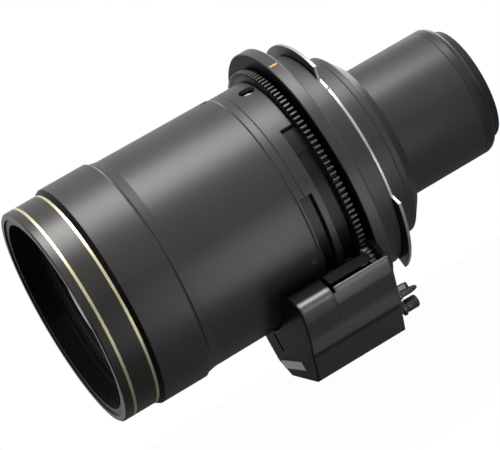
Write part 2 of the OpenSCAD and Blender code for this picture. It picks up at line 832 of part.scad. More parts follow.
module barrel_screws() {
  color([0.08, 0.08, 0.08])
    for (a = barrel_screw_angles)
      at(a) translate([strip_r - barrel_screw_t, barrel_screw_y, 0]) difference() {
        rotate([0, 90, 0]) cylinder(h = barrel_screw_t, r = barrel_screw_r);
        translate([barrel_screw_t, 0, 0]) cross_recess(0.65 * barrel_screw_r, 0.5 * barrel_screw_t);
      }
}

module mount_barrel() {
  color([0.22, 0.22, 0.23]) difference() {
    union() {
      turned([
        [cover_in, main_end_y], [strip_r - seam_bevel, main_end_y], [strip_r, main_end_y + seam_bevel],
        [strip_r, band_y], [cover_in, band_y], [cover_in, web_y + web_t], [guide_out, web_y + web_t],
        [guide_out, web_y], [cover_in, web_y]
      ]);
      slab(band_y - web_set / 2, skirt_y) arc_band(strip_r, cover_in, notch_top, notch_bottom + 360);
    }
    barrel_windows();
    for (a = access_angles)
      radial(a, access_y, hub_r, strip_r + over, access_r);
  }
}

module guide_barrel() {
  play = pin_r + pin_play;
  front_half = focus_travel / 2;
  key_half = zoom_turn / 2;
  color([0.35, 0.35, 0.37]) difference() {
    tube(guide_y, 0, guide_out, guide_in);
    for (a = front_angles) guide_slot(a, front_pin_y - front_half, front_pin_y + front_half, play);
    for (a = variator_angles) guide_slot(a, variator_pin_y, variator_pin_y + variator_travel, play);
    for (a = compensator_angles)
      guide_slot(a, compensator_pin_y - compensator_travel, compensator_pin_y, play);
    for (a = key_angles) {
      margin = (key_r + gap) / guide_in * 180 / PI;
      slab(key_y - key_r - gap, key_y + key_r + gap)
        arc_band(guide_out + over, guide_in - over, a - 2 * key_half - margin, a + margin);
    }
  }
}

module zoom_ring() {
  color([0.1, 0.1, 0.11]) difference() {
    union() {
      tube(hub_y, hub_end_y, hub_r, drum_in);
      slab(ring_y, ring_y + zoom_ring_w)
        difference() {
          polygon(gear_outline(zoom_module, zoom_ring_teeth, zoom_ring_phase, 1));
          circle(drum_in + drum_wall / 2);
        }
      slab(band_y + gap, ring_y) arc_band(hub_r + stop_lift, hub_r - drum_wall / 2, stop_bottom, stop_top);
    }
    for (a = key_angles) radial(a, key_y, drum_in - over, key_out_r, key_r);
    for (a = access_angles)
      radial(a, access_y, hub_r - ring_screw_drop - ring_screw_t, hub_r + over, ring_screw_r);
  }
}

module ring_screws() {
  color([0.75, 0.75, 0.77])
    for (a = access_angles)
      at(a) translate([hub_r - ring_screw_drop - ring_screw_t, access_y, 0]) difference() {
        rotate([0, 90, 0]) cylinder(h = ring_screw_t, r = ring_screw_r);
        translate([ring_screw_t, 0, 0]) cross_recess(0.6 * ring_screw_r, 0.5 * ring_screw_t);
      }
}

module zoom_keys() {
  color([0.7, 0.7, 0.72])
    for (a = key_angles) radial(a, key_y, key_in_r, key_out_r, key_r);
}

module cam_tube() {
  color([0.3, 0.3, 0.32]) difference() {
    tube(cam_y, cam_end_y, cam_out, cam_in);
    for (a = variator_angles)
      cam_slot(cam_in, cam_out, a, a + zoom_turn, variator_pin_y, variator_pin_y + variator_travel);
    for (a = compensator_angles)
      cam_slot(cam_in, cam_out, a, a + zoom_turn, compensator_pin_y, compensator_pin_y - compensator_travel);
    for (a = key_angles) radial(a, key_y, key_in_r, cam_out + over, key_r);
  }
}

// Cell with a seat for its lenses behind and a threaded retainer in front
module sliding_cell(y0, length, seat, pin_y, angles) {
  color([0.14, 0.14, 0.15]) difference() {
    turned([
      [cell_bore_r, y0], [cell_r, y0], [cell_r, y0 + length], [cell_stop_r, y0 + length],
      [cell_stop_r, y0 + length - seat], [cell_bore_r, y0 + length - seat]
    ]);
    for (a = angles) radial(a, pin_y, pin_in_r, cell_r + over, pin_r);
  }
}

module cell_retainer(y0, y1) {
  color([0.1, 0.1, 0.11]) tube(y0, y1, cell_bore_r, cell_stop_r);
}

module follower_pins(pin_y, angles) {
  color([0.75, 0.74, 0.7])
    for (a = angles) radial(a, pin_y, pin_in_r, pin_out_r, pin_r);
}

variator_seat = 1.5;
variator_split = variator_y + variator_l / 2;
variator_edge_t = 4.2;

module variator_cell() {
  sliding_cell(variator_y, variator_l, variator_seat, variator_pin_y, variator_angles);
}

module variator_front_lens() {
  color([0.6, 0.6, 0.85, 0.5])
    lens(cell_bore_r, land, variator_split - variator_edge_t, variator_split, 0, -2.2 * front_curve);
}

module variator_rear_lens() {
  color([0.6, 0.6, 0.85, 0.5])
    lens(cell_bore_r, land, variator_split, variator_y + variator_l - variator_seat, 0, -2.2 * front_curve);
}

module variator_retainer() {
  cell_retainer(variator_y + retainer_set, variator_split - variator_edge_t);
}

module variator_pins() {
  follower_pins(variator_pin_y, variator_angles);
}

compensator_seat = 1.5;
compensator_edge_t = 4;
compensator_lens_end = compensator_y + compensator_l - compensator_seat;

module compensator_cell() {
  sliding_cell(compensator_y, compensator_l, compensator_seat, compensator_pin_y, compensator_angles);
}

module compensator_lens() {
  color([0.6, 0.6, 0.85, 0.5])
    lens(cell_bore_r, land, compensator_lens_end - compensator_edge_t, compensator_lens_end, -1.5 * front_curve, 1.6 * front_curve);
}

module compensator_retainer() {
  cell_retainer(compensator_y + retainer_set, compensator_lens_end - compensator_edge_t);
}

module compensator_pins() {
  follower_pins(compensator_pin_y, compensator_angles);
}

module fix_holes(y0, y1, r) {
  for (i = [0:fix_count - 1])
    at(fix_start + 360 * i / fix_count) translate([fix_circle_r, 0, 0]) rod(y0, y1, r);
}

module mount_flange() {
  color([0.2, 0.2, 0.21]) difference() {
    turned([
      [guide_out, flange_y], [flange_r - edge_bevel, flange_y], [flange_r, flange_y + edge_bevel],
      [flange_r, -edge_bevel], [flange_r - edge_bevel, 0], [guide_out, 0]
    ]);
    mark_slot(flange_r + over);
    fix_holes(flange_y / 2, over, fix_shank_r);
  }
}

// Slot with round ends in the flange's rim, from its floor out to radius r
module mark_slot(r) {
  floor_r = flange_r - mark_t;
  radial(mark_angle, mark_y + mark_w / 2, floor_r, r, mark_w / 2);
  radial(mark_angle, mark_y + mark_l - mark_w / 2, floor_r, r, mark_w / 2);
  at(mark_angle) translate([floor_r, mark_y + mark_w / 2, -mark_w / 2]) cube([r - floor_r, mark_l - mark_w, mark_w]);
}

module index_mark() {
  color([0.95, 0.6, 0.15]) mark_slot(flange_r);
}

module mount_spigot() {
  color([0.16, 0.16, 0.17]) difference() {
    turned([
      [guide_in, 0], [spigot_r, 0], [spigot_r, bayonet_y - edge_bevel], [spigot_r - edge_bevel, bayonet_y],
      [guide_in, bayonet_y]
    ]);
    fix_holes(-over, bayonet_y + over, fix_shank_r);
  }
}

module bayonet_ring() {
  color([0.62, 0.62, 0.6]) difference() {
    slab(bayonet_y, bayonet_y + bayonet_t)
      difference() {
        union() {
          circle(bayonet_r);
          for (i = [0:len(lug_starts) - 1]) {
            low = lug_starts[i];
            high = lug_ends[i];
            intersection() {
              circle(lug_r);
              polygon(concat(
                [spot(bayonet_r - over, low)],
                [for (a = [low + lug_ramp:(high - low - 2 * lug_ramp) / 4:high - lug_ramp + 0.01]) spot(1.1 * lug_r, a)],
                [spot(bayonet_r - over, high)]
              ));
            }
          }
        }
        circle(bayonet_bore_r);
        rotate(bayonet_notch) translate([bayonet_r - over, -bayonet_notch_w / 2])
          square([lug_reach, bayonet_notch_w]);
      }
    fix_holes(0, bayonet_y + over + bayonet_t, fix_shank_r);
    fix_holes(bayonet_y + bayonet_t - fix_head_t, bayonet_y + over + bayonet_t, fix_screw_r);
  }
}

module bayonet_screws() {
  top = bayonet_y + bayonet_t;
  color([0.7, 0.7, 0.72])
    for (i = [0:fix_count - 1])
      at(fix_start + 360 * i / fix_count) translate([fix_circle_r, 0, 0]) difference() {
        union() {
          rod(flange_y / 2, top - fix_head_t, fix_shank_r);
          rod(top - fix_head_t, top, fix_screw_r);
        }
        translate([0, top, 0]) rotate([0, 0, 90]) cross_recess(0.6 * fix_screw_r, 0.5 * fix_head_t);
      }
}

module rear_collar() {
  color([0.17, 0.17, 0.18])
    turned([
      [bayonet_bore_r, collar_y], [collar_r, collar_y], [collar_r, shroud_y - seam_bevel],
      [collar_r - seam_bevel, shroud_y], [bayonet_bore_r, shroud_y]
    ]);
}

module rear_shroud() {
  flat = 0.32 * shroud_l;
  color([0.15, 0.15, 0.16])
    turned([
      [rear_seat_r, shroud_y], [collar_r - seam_bevel, shroud_y], [collar_r, shroud_y + seam_bevel],
      [collar_r, shroud_y + flat], [collar_r - edge_bevel, shroud_y + flat + edge_bevel],
      [shroud_foot_r, shroud_end_y], [rear_seat_r, shroud_end_y]
    ]);
}

module rear_tube() {
  color([0.17, 0.17, 0.18])
    turned([
      [rear_bore_r, rear_foot_y], [guide_in, rear_foot_y], [guide_in, rear_foot_y + rear_foot_l],
      [rear_seat_r, rear_foot_y + rear_foot_l], [rear_seat_r, rear_seat_end], [rear_r, rear_seat_end],
      [rear_r, rear_seam - seam_bevel],
      [rear_r - seam_bevel, rear_seam], [rear_bore_r, rear_seam], [rear_bore_r, relay_y],
      [rear_bore_r - land, relay_y], [rear_bore_r - land, relay_y - shoulder_t], [rear_bore_r, relay_y - shoulder_t]
    ]);
}

module relay_lens() {
  color([0.6, 0.6, 0.85, 0.5])
    lens(rear_bore_r, land, relay_y, relay_y + relay_edge_t, 0.7 * front_curve, 0.6 * front_curve);
}

module relay_spacer() {
  color([0.1, 0.1, 0.11]) tube(relay_y + relay_edge_t, field_y, rear_bore_r, rear_bore_r - land);
}

module field_lens() {
  color([0.6, 0.6, 0.85, 0.5])
    lens(rear_bore_r, land, field_y, field_y + field_edge_t, 0.9 * front_curve, -1.4 * front_curve);
}

module rear_spacer() {
  color([0.1, 0.1, 0.11]) tube(field_y + field_edge_t, rear_seam, rear_bore_r, rear_bore_r - land);
}

module rear_end_ring() {
  round_r = 1.3;
  color([0.16, 0.16, 0.17])
    turned([
      [tip_r, rear_seam], [rear_r - seam_bevel, rear_seam], [rear_r, rear_seam + seam_bevel],
      [rear_r, end_ring_y - 2 * round_r], [rear_r - 0.4 * round_r, end_ring_y - 0.8 * round_r],
      [rear_r - round_r, end_ring_y], [tip_r, end_ring_y]
    ]);
}

module rear_retainer() {
  color([0.12, 0.12, 0.13])
    turned([
      [tip_bore_r, rear_seam], [tip_r, rear_seam], [tip_r, end_ring_y], [tip_r - tip_round, tip_y],
      [tip_bore_r + 2 * tip_lip, tip_y], [tip_bore_r + tip_lip, tip_seat_y + rear_edge_t],
      [tip_bore_r + tip_lip, tip_seat_y], [tip_bore_r, tip_seat_y]
    ]);
}

module rear_lens() {
  color([0.6, 0.6, 0.85, 0.5])
    lens(tip_bore_r + tip_lip, tip_lip, tip_seat_y, tip_seat_y + rear_edge_t, -1.6 * front_curve, 1.5 * front_curve);
}

// Everything inside the housing's cover, less the barrel and the cover's wall
module housing_section(shares, d, barrel_r) {
  difference() {
    polygon(inset(cover_outline(shares), d));
    circle(barrel_r);
  }
}

module cover_shell(shares) {
  difference() {
    polygon(rounded(cover_outline(shares), corner_share * cover_depth));
    circle(saddle_in_r);
  }
}

module drive_cover() {
  inner = cover_wall;
  big = 2 * cover_depth;
  color([0.13, 0.13, 0.14]) difference() {
    union() {
      slab(cover_y, slot_at) cover_shell(near_shares);
      slab(slot_at, cover_end_y) cover_shell(rear_shares);
    }
    slab(cover_y + inner, slot_at) housing_section(near_shares, inner, over);
    slab(slot_at - over, cover_end_y - inner) housing_section(near_shares, inner, over);
    slab(pinion_window_y - ring_room_l, cover_end_y + over) circle(gear_room_r);
    slab(slot_at + slot_gap, cover_end_y + over)
      translate([0, gap_z - slot_gap]) square([big, cover_depth]);
    slab(slot_at, slot_at + slot_gap)
      translate([0, ridge_z - slot_drop]) square([big, cover_depth]);
    slab(pinion_window_y, cover_end_y + over)
      translate([0, gap_z - 5 * slot_gap]) square([0.62 * cover_depth, cover_depth]);
    translate([latch_shares[0] * cover_depth - latch_w / 2, cover_y - over, latch_shares[1] * cover_depth - latch_h / 2])
      cube([latch_w, over + latch_depth, latch_h]);
    label_pocket();
    for (y = boss_ys) {
      radial(bottom_angle, y, saddle_in_r + saddle_t, big, cover_screw_core_r + gap);
      radial(bottom_angle, y, bottom_d - cover_screw_t, big, cover_screw_r);
    }
  }
}

module label_pocket() {
  translate([label_shares[0] * cover_depth, cover_y, label_shares[1] * cover_depth])
    rotate([0, -label_tilt, 0]) translate([-label_l / 2, -over, -label_h / 2])
      cube([label_l, over + label_t / 2, label_h]);
}

module label_plate() {
  color([0.6, 0.6, 0.62])
    translate([label_shares[0] * cover_depth, cover_y, label_shares[1] * cover_depth])
      rotate([0, -label_tilt, 0]) translate([-label_l / 2, -label_t / 2, -label_h / 2])
        cube([label_l, label_t, label_h]);
}

module cover_screws() {
  color([0.1, 0.1, 0.1])
    for (y = boss_ys) {
      head = bottom_d - cover_screw_t;
      at(bottom_angle) translate([head, y, 0]) difference() {
        union() {
          rotate([0, 90, 0]) cylinder(h = 0.7 * cover_screw_t, r = cover_screw_r);
          translate([-screw_grip, 0, 0]) rotate([0, 90, 0]) cylinder(h = screw_grip, r = cover_screw_core_r);
        }
        translate([0.7 * cover_screw_t, 0, 0]) cross_recess(0.6 * cover_screw_r, 0.4 * cover_screw_t);
      }
    }
}

module base_plate(y, inner_r) {
  slab(y, y + plate_t)
    intersection() {
      housing_section(near_shares, cover_wall + gap, inner_r);
      translate([-cover_depth, -2 * cover_depth])
        square([2 * cover_depth, 2 * cover_depth + ridge_z - cover_wall - gap]);
    }
}

module drive_base() {
  boss_end = bottom_d - cover_wall - gap;
  color([0.18, 0.18, 0.19]) difference() {
    union() {
      slab(cover_y + cover_wall + gap, pinion_window_y - ring_room_l - gap)
        arc_band(saddle_in_r + saddle_t, saddle_in_r, saddle_from, saddle_to);
      slab(slot_at + slot_gap + gap, pinion_window_y - ring_room_l - gap)
        arc_band(saddle_in_r + saddle_t, saddle_in_r, saddle_to - 1, rail_foot);
      base_plate(first_plate_y, saddle_in_r);
      base_plate(second_plate_y, strip_r);
      for (y = boss_ys)
        radial(bottom_angle, y, saddle_in_r + saddle_t / 2, boss_end, boss_r);
      slab(slot_at + slot_gap + gap, pinion_window_y)
        difference() {
          polygon(inset(cover_outline(near_shares), 0));
          polygon(inset(cover_outline(near_shares), rail_t));
          translate([-2 * cover_depth, -2 * cover_depth])
            square([4 * cover_depth, 2 * cover_depth + gap_z]);
          translate([-2 * cover_depth, -cover_depth]) square([2 * cover_depth, 2 * cover_depth]);
          circle(saddle_in_r);
        }
    }
    slab(focus_gear_y - gap, focus_gear_y + focus_gear_l + gap)
      translate(focus_pinion_at) circle(pitch_r(focus_module, focus_pinion_teeth + 2) + 2 * gap);
    for (y = boss_ys)
      radial(bottom_angle, y, boss_end - screw_grip, boss_end + over, cover_screw_core_r);
    rod_at(zoom_motor_at, first_plate_y - over, zoom_gear_y, shaft_r + running);
    rod_at(focus_motor_at, first_plate_y - over, second_plate_y + plate_t + over, shaft_r + running);
    rod_at(focus_pinion_at, first_plate_y - over, second_plate_y + plate_t + over, pinion_shaft_r + running);
    rod_at(zoom_pinion_at, second_plate_y - over, second_plate_y + plate_t + over, pinion_shaft_r + running);
    rod_at(focus_sensor_at, first_plate_y - over, second_plate_y + plate_t + over, pinion_shaft_r + running);
    rod_at(zoom_sensor_at, second_plate_y - over, second_plate_y + plate_t + over, pinion_shaft_r + running);
  }
}

pinion_shaft_r = 1.2;
motor_nose_l = 1.6;
motor_nose_r = 3;
// Depth of a gear's shaft in its motor
shaft_reach = 5;
tag_w = 2;
tag_t = 0.6;
tag_share = 0.55;
leg_pitch = 2;
leg_w = 0.8;
leg_t = 0.5;
leg_l = 2;

// Small motor with a nose on its front plate and two solder tags
module motor(spot_xz) {
  y1 = first_plate_y - gap;
  y0 = y1 - motor_l;
  color([0.6, 0.6, 0.62]) difference() {
    union() {
      rod_at(spot_xz, y0 + motor_nose_l, y1, motor_r);
      rod_at(spot_xz, y0, y0 + motor_nose_l, motor_nose_r);
      for (side = [-1, 1])
        translate([spot_xz[0] + side * tag_share * motor_r - tag_t / 2, y0 + tag_t, spot_xz[1] - tag_w / 2])
          cube([tag_t, motor_nose_l, tag_w]);
    }
    rod_at(spot_xz, y1 - shaft_reach - gap, y1 + over, shaft_r + running);
  }
}

module zoom_motor() {
  motor(zoom_motor_at);
}

module focus_motor() {
  motor(focus_motor_at);
}

// Position sensor with three flat legs
module sensor(spot_xz, y0, y1, shaft_y) {
  color([0.1, 0.25, 0.35]) difference() {
    union() {
      rod_at(spot_xz, y0, y1, sensor_r);
      for (side = [-1, 0, 1])
        translate([spot_xz[0] + side * leg_pitch - leg_w / 2, y0 + leg_w, spot_xz[1] - sensor_r - leg_l / 2])
          cube([leg_w, leg_t, leg_l]);
    }
    rod_at(spot_xz, shaft_y[0], shaft_y[1], pinion_shaft_r + running);
  }
}

sensor_space = 1.4;
focus_sensor_l = 6;
// Closed end of the focus sensor behind its shaft
sensor_floor = 1;
zoom_sensor_end = sensor_gear_y - sensor_space;
zoom_sensor_y = second_plate_y + plate_t + gap / 2;
focus_sensor_end = first_plate_y - gap;
focus_sensor_y = focus_sensor_end - focus_sensor_l;

module zoom_sensor() {
  sensor(zoom_sensor_at, zoom_sensor_y, zoom_sensor_end, [zoom_sensor_y - over, zoom_sensor_end + over]);
}

module focus_sensor() {
  sensor(focus_sensor_at, focus_sensor_y, focus_sensor_end, [focus_sensor_y + sensor_floor, focus_sensor_end + over]);
}

// Gear with its own shaft, whose ends run in bearings
module gear(spot_xz, m, z, phase, y0, length, shaft_y0, shaft_y1, shaft_radius) {
  translate([spot_xz[0], 0, spot_xz[1]]) {
    slab(y0, y0 + length) polygon(gear_outline(m, z, phase, 3));
    rod(shaft_y0, shaft_y1, shaft_radius);
  }
}

module zoom_pinion() {
  color([0.75, 0.75, 0.77])
    gear(zoom_pinion_at, zoom_module, zoom_pinion_teeth, zoom_pinion_phase, zoom_gear_y, zoom_gear_l,
         second_plate_y + gap, flange_y - 2 * gap, pinion_shaft_r);
}

module zoom_motor_gear() {
  color([0.8, 0.72, 0.45])
    gear(zoom_motor_at, zoom_module, zoom_motor_teeth, zoom_motor_phase, zoom_gear_y, zoom_gear_l,
         first_plate_y - shaft_reach, zoom_gear_y + zoom_gear_l + gap / 2, shaft_r);
}

module zoom_sensor_gear() {
  color([0.85, 0.85, 0.8])
    gear(zoom_sensor_at, zoom_module, zoom_sensor_teeth, zoom_sensor_phase, sensor_gear_y, sensor_gear_l,
         second_plate_y + gap, sensor_gear_y + sensor_gear_l + gap / 2, pinion_shaft_r);
}

module focus_pinion() {
  color([0.8, 0.72, 0.45])
    gear(focus_pinion_at, focus_module, focus_pinion_teeth, focus_pinion_phase, focus_gear_y, focus_gear_l,
         first_plate_y + gap, second_plate_y + plate_t - gap, pinion_shaft_r);
}

module focus_motor_gear() {
  color([0.8, 0.72, 0.45])
    gear(focus_motor_at, focus_module, focus_motor_teeth, focus_motor_phase, focus_gear_y, focus_gear_l,
         first_plate_y - shaft_reach, second_plate_y + plate_t - gap, shaft_r);
}

module focus_sensor_gear() {
  color([0.85, 0.85, 0.8])
    gear(focus_sensor_at, focus_module, focus_sensor_teeth, focus_sensor_phase, focus_gear_y, focus_gear_l,
         focus_sensor_y + 2 * sensor_floor, second_plate_y + plate_t - gap, pinion_shaft_r);
}

module pinion_bracket() {
  y0 = zoom_gear_y + zoom_gear_l + gap;
  color([0.16, 0.16, 0.17]) difference() {
    slab(y0, flange_y)
      difference() {
        polygon(rounded(scaled(bracket_shares, cover_depth), fine_corner_share * cover_depth, 3));
        circle(gear_room_r);
      }
    rod_at(zoom_pinion_at, y0 - over, flange_y - gap, pinion_shaft_r + running);
  }
}

module connector() {
  y0 = cover_end_y;
  color([0.12, 0.12, 0.13]) {
    slab(y0, y0 + socket_t)
      difference() {
        polygon(rounded(scaled(socket_shares, cover_depth), fine_corner_share * cover_depth, 3));
        circle(flange_r + 2 * gap);
      }
    rod_at(post_shares * cover_depth, y0 + socket_t - gap, y0 + post_l, post_r);
    translate([contact_shares[0] * cover_depth - contact_w, y0 + socket_t - gap, contact_shares[1] * cover_depth - contact_h / 2])
      cube([contact_w, contact_l - socket_t + gap, contact_h]);
    for (s = pin_shares) {
      rod_at(s * cover_depth, y0 + socket_t - gap, y0 + guide_pin_l - pin_taper_l, guide_pin_r);
      translate([s[0] * cover_depth, y0 + guide_pin_l - pin_taper_l, s[1] * cover_depth]) rotate([-90, 0, 0])
        cylinder(h = pin_taper_l, r1 = guide_pin_r, r2 = pin_tip_share * guide_pin_r);
    }
  }
}

front_ring();
trim_lines();
front_retainer();
front_cell();
front_lens();
second_lens();
third_lens();
inner_retainer();
front_pins();
focus_drum();
drum_snap_ring();
front_barrel();
main_barrel();
barrel_screws();
mount_barrel();
guide_barrel();
zoom_ring();
cam_tube();
zoom_keys();
ring_screws();
variator_cell();
variator_front_lens();
variator_rear_lens();
variator_retainer();
variator_pins();
compensator_cell();
compensator_lens();
compensator_retainer();
compensator_pins();
mount_flange();
index_mark();
mount_spigot();
bayonet_ring();
bayonet_screws();
rear_collar();
rear_shroud();
rear_tube();
relay_lens();
relay_spacer();
field_lens();
rear_spacer();
rear_end_ring();
rear_retainer();
rear_lens();
drive_base();
drive_cover();
cover_screws();
label_plate();
zoom_motor();
focus_motor();
zoom_sensor();
focus_sensor();
zoom_pinion();
zoom_motor_gear();
zoom_sensor_gear();
focus_pinion();
focus_motor_gear();
focus_sensor_gear();
pinion_bracket();
connector();
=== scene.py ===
import math

import bmesh
import bpy
from mathutils import Matrix, Vector


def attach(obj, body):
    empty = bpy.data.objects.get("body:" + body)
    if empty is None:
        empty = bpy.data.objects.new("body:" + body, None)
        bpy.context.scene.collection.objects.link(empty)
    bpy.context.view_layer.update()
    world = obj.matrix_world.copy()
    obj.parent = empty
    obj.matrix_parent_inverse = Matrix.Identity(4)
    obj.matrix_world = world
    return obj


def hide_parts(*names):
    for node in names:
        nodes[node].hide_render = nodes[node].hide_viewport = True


# pieces are given in millimetres, the stage and the materials in metres
mm = 0.001

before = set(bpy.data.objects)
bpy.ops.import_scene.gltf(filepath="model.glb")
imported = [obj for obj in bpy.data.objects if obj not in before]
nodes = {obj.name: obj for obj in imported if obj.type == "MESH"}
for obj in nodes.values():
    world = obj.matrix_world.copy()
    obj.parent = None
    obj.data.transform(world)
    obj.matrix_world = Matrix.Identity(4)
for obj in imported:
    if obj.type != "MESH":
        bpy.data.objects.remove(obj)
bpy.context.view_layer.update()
print("frame loaded:", len(nodes), "nodes")


def spot(radius, degrees):
    angle = math.radians(degrees)
    return radius * math.cos(angle), radius * math.sin(angle)


# node helpers

def feed(tree, socket, value):
    # a socket is linked, anything else is set as the value
    if isinstance(value, bpy.types.NodeSocket):
        tree.links.new(value, socket)
    else:
        socket.default_value = value


def addNode(tree, kind, values, **settings):
    node = tree.nodes.new(kind)
    for label, value in settings.items():
        setattr(node, label, value)
    for label, value in values.items():
        feed(tree, node.inputs[label], value)
    return node.outputs[0]


def mathNode(tree, operation, first, second=None):
    values = {0: first} if second is None else {0: first, 1: second}
    return addNode(tree, "ShaderNodeMath", values, operation=operation)


def spread(tree, value, fromMin, fromMax, toMin=0.0, toMax=1.0):
    return addNode(tree, "ShaderNodeMapRange", {
        "Value": value, "From Min": fromMin, "From Max": fromMax, "To Min": toMin, "To Max": toMax})


def splitVector(tree, vector):
    node = tree.nodes.new("ShaderNodeSeparateXYZ")
    tree.links.new(vector, node.inputs[0])
    return node.outputs


def combine(tree, **axes):
    return addNode(tree, "ShaderNodeCombineXYZ", axes)


def newGroup(name, kind, inputs, outputs):
    # inputs: label, socket type and value, where None keeps the type's own; outputs: label and socket type
    group = bpy.data.node_groups.new(name, kind)
    for label, socketType, value in inputs:
        socket = group.interface.new_socket(
            name=label, in_out="INPUT", socket_type="NodeSocket" + socketType)
        if value is not None:
            socket.default_value = value
    for label, socketType in outputs:
        group.interface.new_socket(name=label, in_out="OUTPUT", socket_type="NodeSocket" + socketType)
    return group, group.nodes.new("NodeGroupInput").outputs, group.nodes.new("NodeGroupOutput").inputs


# camera, floor and light

cameraSet = {
    "place": (1.3043, -0.3668, -0.0065),
    "right": (0.20904, 0.83740, -0.50504),
    "up": (0.12232, 0.49000, 0.86310),
    "back": (0.97023, -0.24220, 0.0),
    "lens": 203.0,
    "sensor": 36.0,
    "clip": (0.05, 50.0),
}

lightSet = {
    "floorZ": -0.30,
    "floorSize": 9.0,
    "floorTone": 0.14,
    "floorGlow": 0.93,      # what the camera sees, on top of the lamps' light
    "floorShine": 0.02,     # what gloss and glass see
    "sky": 0.34,
    "skySeen": 1.0,
    "skyShine": 0.80,
    "aim": (0.0, -0.03, 0.0),
    "lamps": {
        "keyLamp": {
            "place": (0.33, 0.13, 0.98), "size": (0.34, 0.62), "power": 11.0, "colour": (1.0, 0.985, 0.955)},
        "lowLamp": {
            "place": (0.235, 0.02, -0.272), "size": (0.05, 0.50), "power": 0.75, "colour": (1.0, 1.0, 1.0)},
        "backLamp": {
            "place": (-0.9, 0.9, 0.55), "size": (0.9, 0.6), "power": 4.0, "colour": (1.0, 1.0, 1.0)},
    },
}


def makeCamera(values):
    data = bpy.data.cameras.new("photoCamera")
    data.lens = values["lens"]
    data.sensor_width = values["sensor"]
    data.clip_start, data.clip_end = values["clip"]
    camera = bpy.data.objects.new("photoCamera", data)
    bpy.context.scene.collection.objects.link(camera)
    axes = [Vector(values[k]).normalized() for k in ("right", "up", "back")]
    camera.matrix_world = Matrix.Translation(values["place"]) @ Matrix(axes).transposed().to_4x4()
    bpy.context.scene.camera = camera


def areaLamp(name, values, aim):
    data = bpy.data.lights.new(name, "AREA")
    data.shape = "RECTANGLE"
    data.size, data.size_y = values["size"]
    data.energy = values["power"]
    data.color = values["colour"]
    lamp = bpy.data.objects.new(name, data)
    lamp.location = values["place"]
    lamp.visible_camera = False
    lamp.rotation_euler = (Vector(aim) - Vector(values["place"])).to_track_quat("-Z", "Y").to_euler()
    bpy.context.scene.collection.objects.link(lamp)


def rayLevel(tree, camera, shine, other):
    # one strength for the camera, one for gloss and glass, one for the light itself
    rays = tree.nodes.new("ShaderNodeLightPath").outputs
    gloss = mathNode(tree, "MAXIMUM", rays["Is Glossy Ray"], rays["Is Transmission Ray"])
    return spread(tree, rays["Is Camera Ray"], 0.0, 1.0, spread(tree, gloss, 0.0, 1.0, other, shine), camera)


def makeFloor(values):
    half, z = values["floorSize"] / 2, values["floorZ"]
    mesh = bpy.data.meshes.new("floor")
    corners = [(-half, -half, z), (half, -half, z), (half, half, z), (-half, half, z)]
    mesh.from_pydata(corners, [], [(0, 1, 2, 3)])
    floor = bpy.data.objects.new("floor", mesh)
    bpy.context.scene.collection.objects.link(floor)
    material = bpy.data.materials.new("floorWhite")
    material.use_nodes = True
    tree = material.node_tree
    tree.nodes.clear()
    tone = values["floorTone"]
    paper = addNode(tree, "ShaderNodeBsdfDiffuse", {"Color": (tone, tone, tone, 1)})
    level = rayLevel(tree, values["floorGlow"], values["floorShine"], 0.0)
    glow = addNode(tree, "ShaderNodeEmission", {"Strength": level})
    out = tree.nodes.new("ShaderNodeOutputMaterial")
    tree.links.new(addNode(tree, "ShaderNodeAddShader", {0: paper, 1: glow}), out.inputs["Surface"])
    mesh.materials.append(material)


def makeSky(values):
    world = bpy.data.worlds.new("studio")
    bpy.context.scene.world = world
    world.use_nodes = True
    tree = world.node_tree
    tree.nodes.clear()
    level = rayLevel(tree, values["skySeen"], values["skyShine"], values["sky"])
    sky = addNode(tree, "ShaderNodeBackground", {"Color": (1, 1, 1, 1), "Strength": level})
    out = tree.nodes.new("ShaderNodeOutputWorld")
    tree.links.new(sky, out.inputs["Surface"])


bpy.context.scene.view_settings.view_transform = "Standard"
makeCamera(cameraSet)
makeFloor(lightSet)
makeSky(lightSet)
for lampName, lampValues in lightSet["lamps"].items():
    areaLamp(lampName, lampValues, lightSet["aim"])
print("camera and stage made")


# shader groups

skinOutputs = [("Height", "Float"), ("Tone", "Float"), ("Cloud", "Float")]

edgeSet = {"samples": 6, "flat": 0.995, "turned": 0.86}

# a noise is given by its scale, detail and roughness
turnedSet = {
    "lineDetail": 3.0,
    "grainDetail": 1.0,
    "cloud": (38.0, 3.0, 0.55),
    "toneRange": (0.3, 0.7),
    "cloudRange": (0.32, 0.68),
}

mouldSet = {
    "fine": (7000.0, 2.0),
    "fineShare": 0.4,
    "cloud": (60.0, 3.0, 0.6),
    "toneRange": (0.35, 0.65),
    "cloudRange": (0.32, 0.68),
}

dustSet = {
    "specks": (1800.0, 1.0),
    "speckRange": (0.66, 0.74),
    "patches": (45.0, 3.0),
    "patchRange": (0.4, 0.7),
    "upRange": (-0.1, 0.9),
}


def objectPlace(tree):
    return tree.nodes.new("ShaderNodeTexCoord").outputs["Object"]


def noiseNode(tree, vector, scale, detail, rough=0.5):
    return addNode(tree, "ShaderNodeTexNoise", {
        "Vector": vector, "Scale": scale, "Detail": detail, "Roughness": rough})


def makeSoftEdge(values):
    # rounded edges in the shading, and a mask of where they are
    tree, given, result = newGroup("softEdge", "ShaderNodeTree", [("Radius", "Float", 0.0004)],
                                   [("Normal", "Vector"), ("Edge", "Float")])
    rounded = addNode(tree, "ShaderNodeBevel", {"Radius": given["Radius"]}, samples=values["samples"])
    shape = tree.nodes.new("ShaderNodeNewGeometry").outputs
    dot = tree.nodes.new("ShaderNodeVectorMath")
    dot.operation = "DOT_PRODUCT"
    tree.links.new(rounded, dot.inputs[0])
    tree.links.new(shape["Normal"], dot.inputs[1])
    tree.links.new(rounded, result["Normal"])
    tree.links.new(spread(tree, dot.outputs["Value"], values["flat"], values["turned"]), result["Edge"])
    return tree


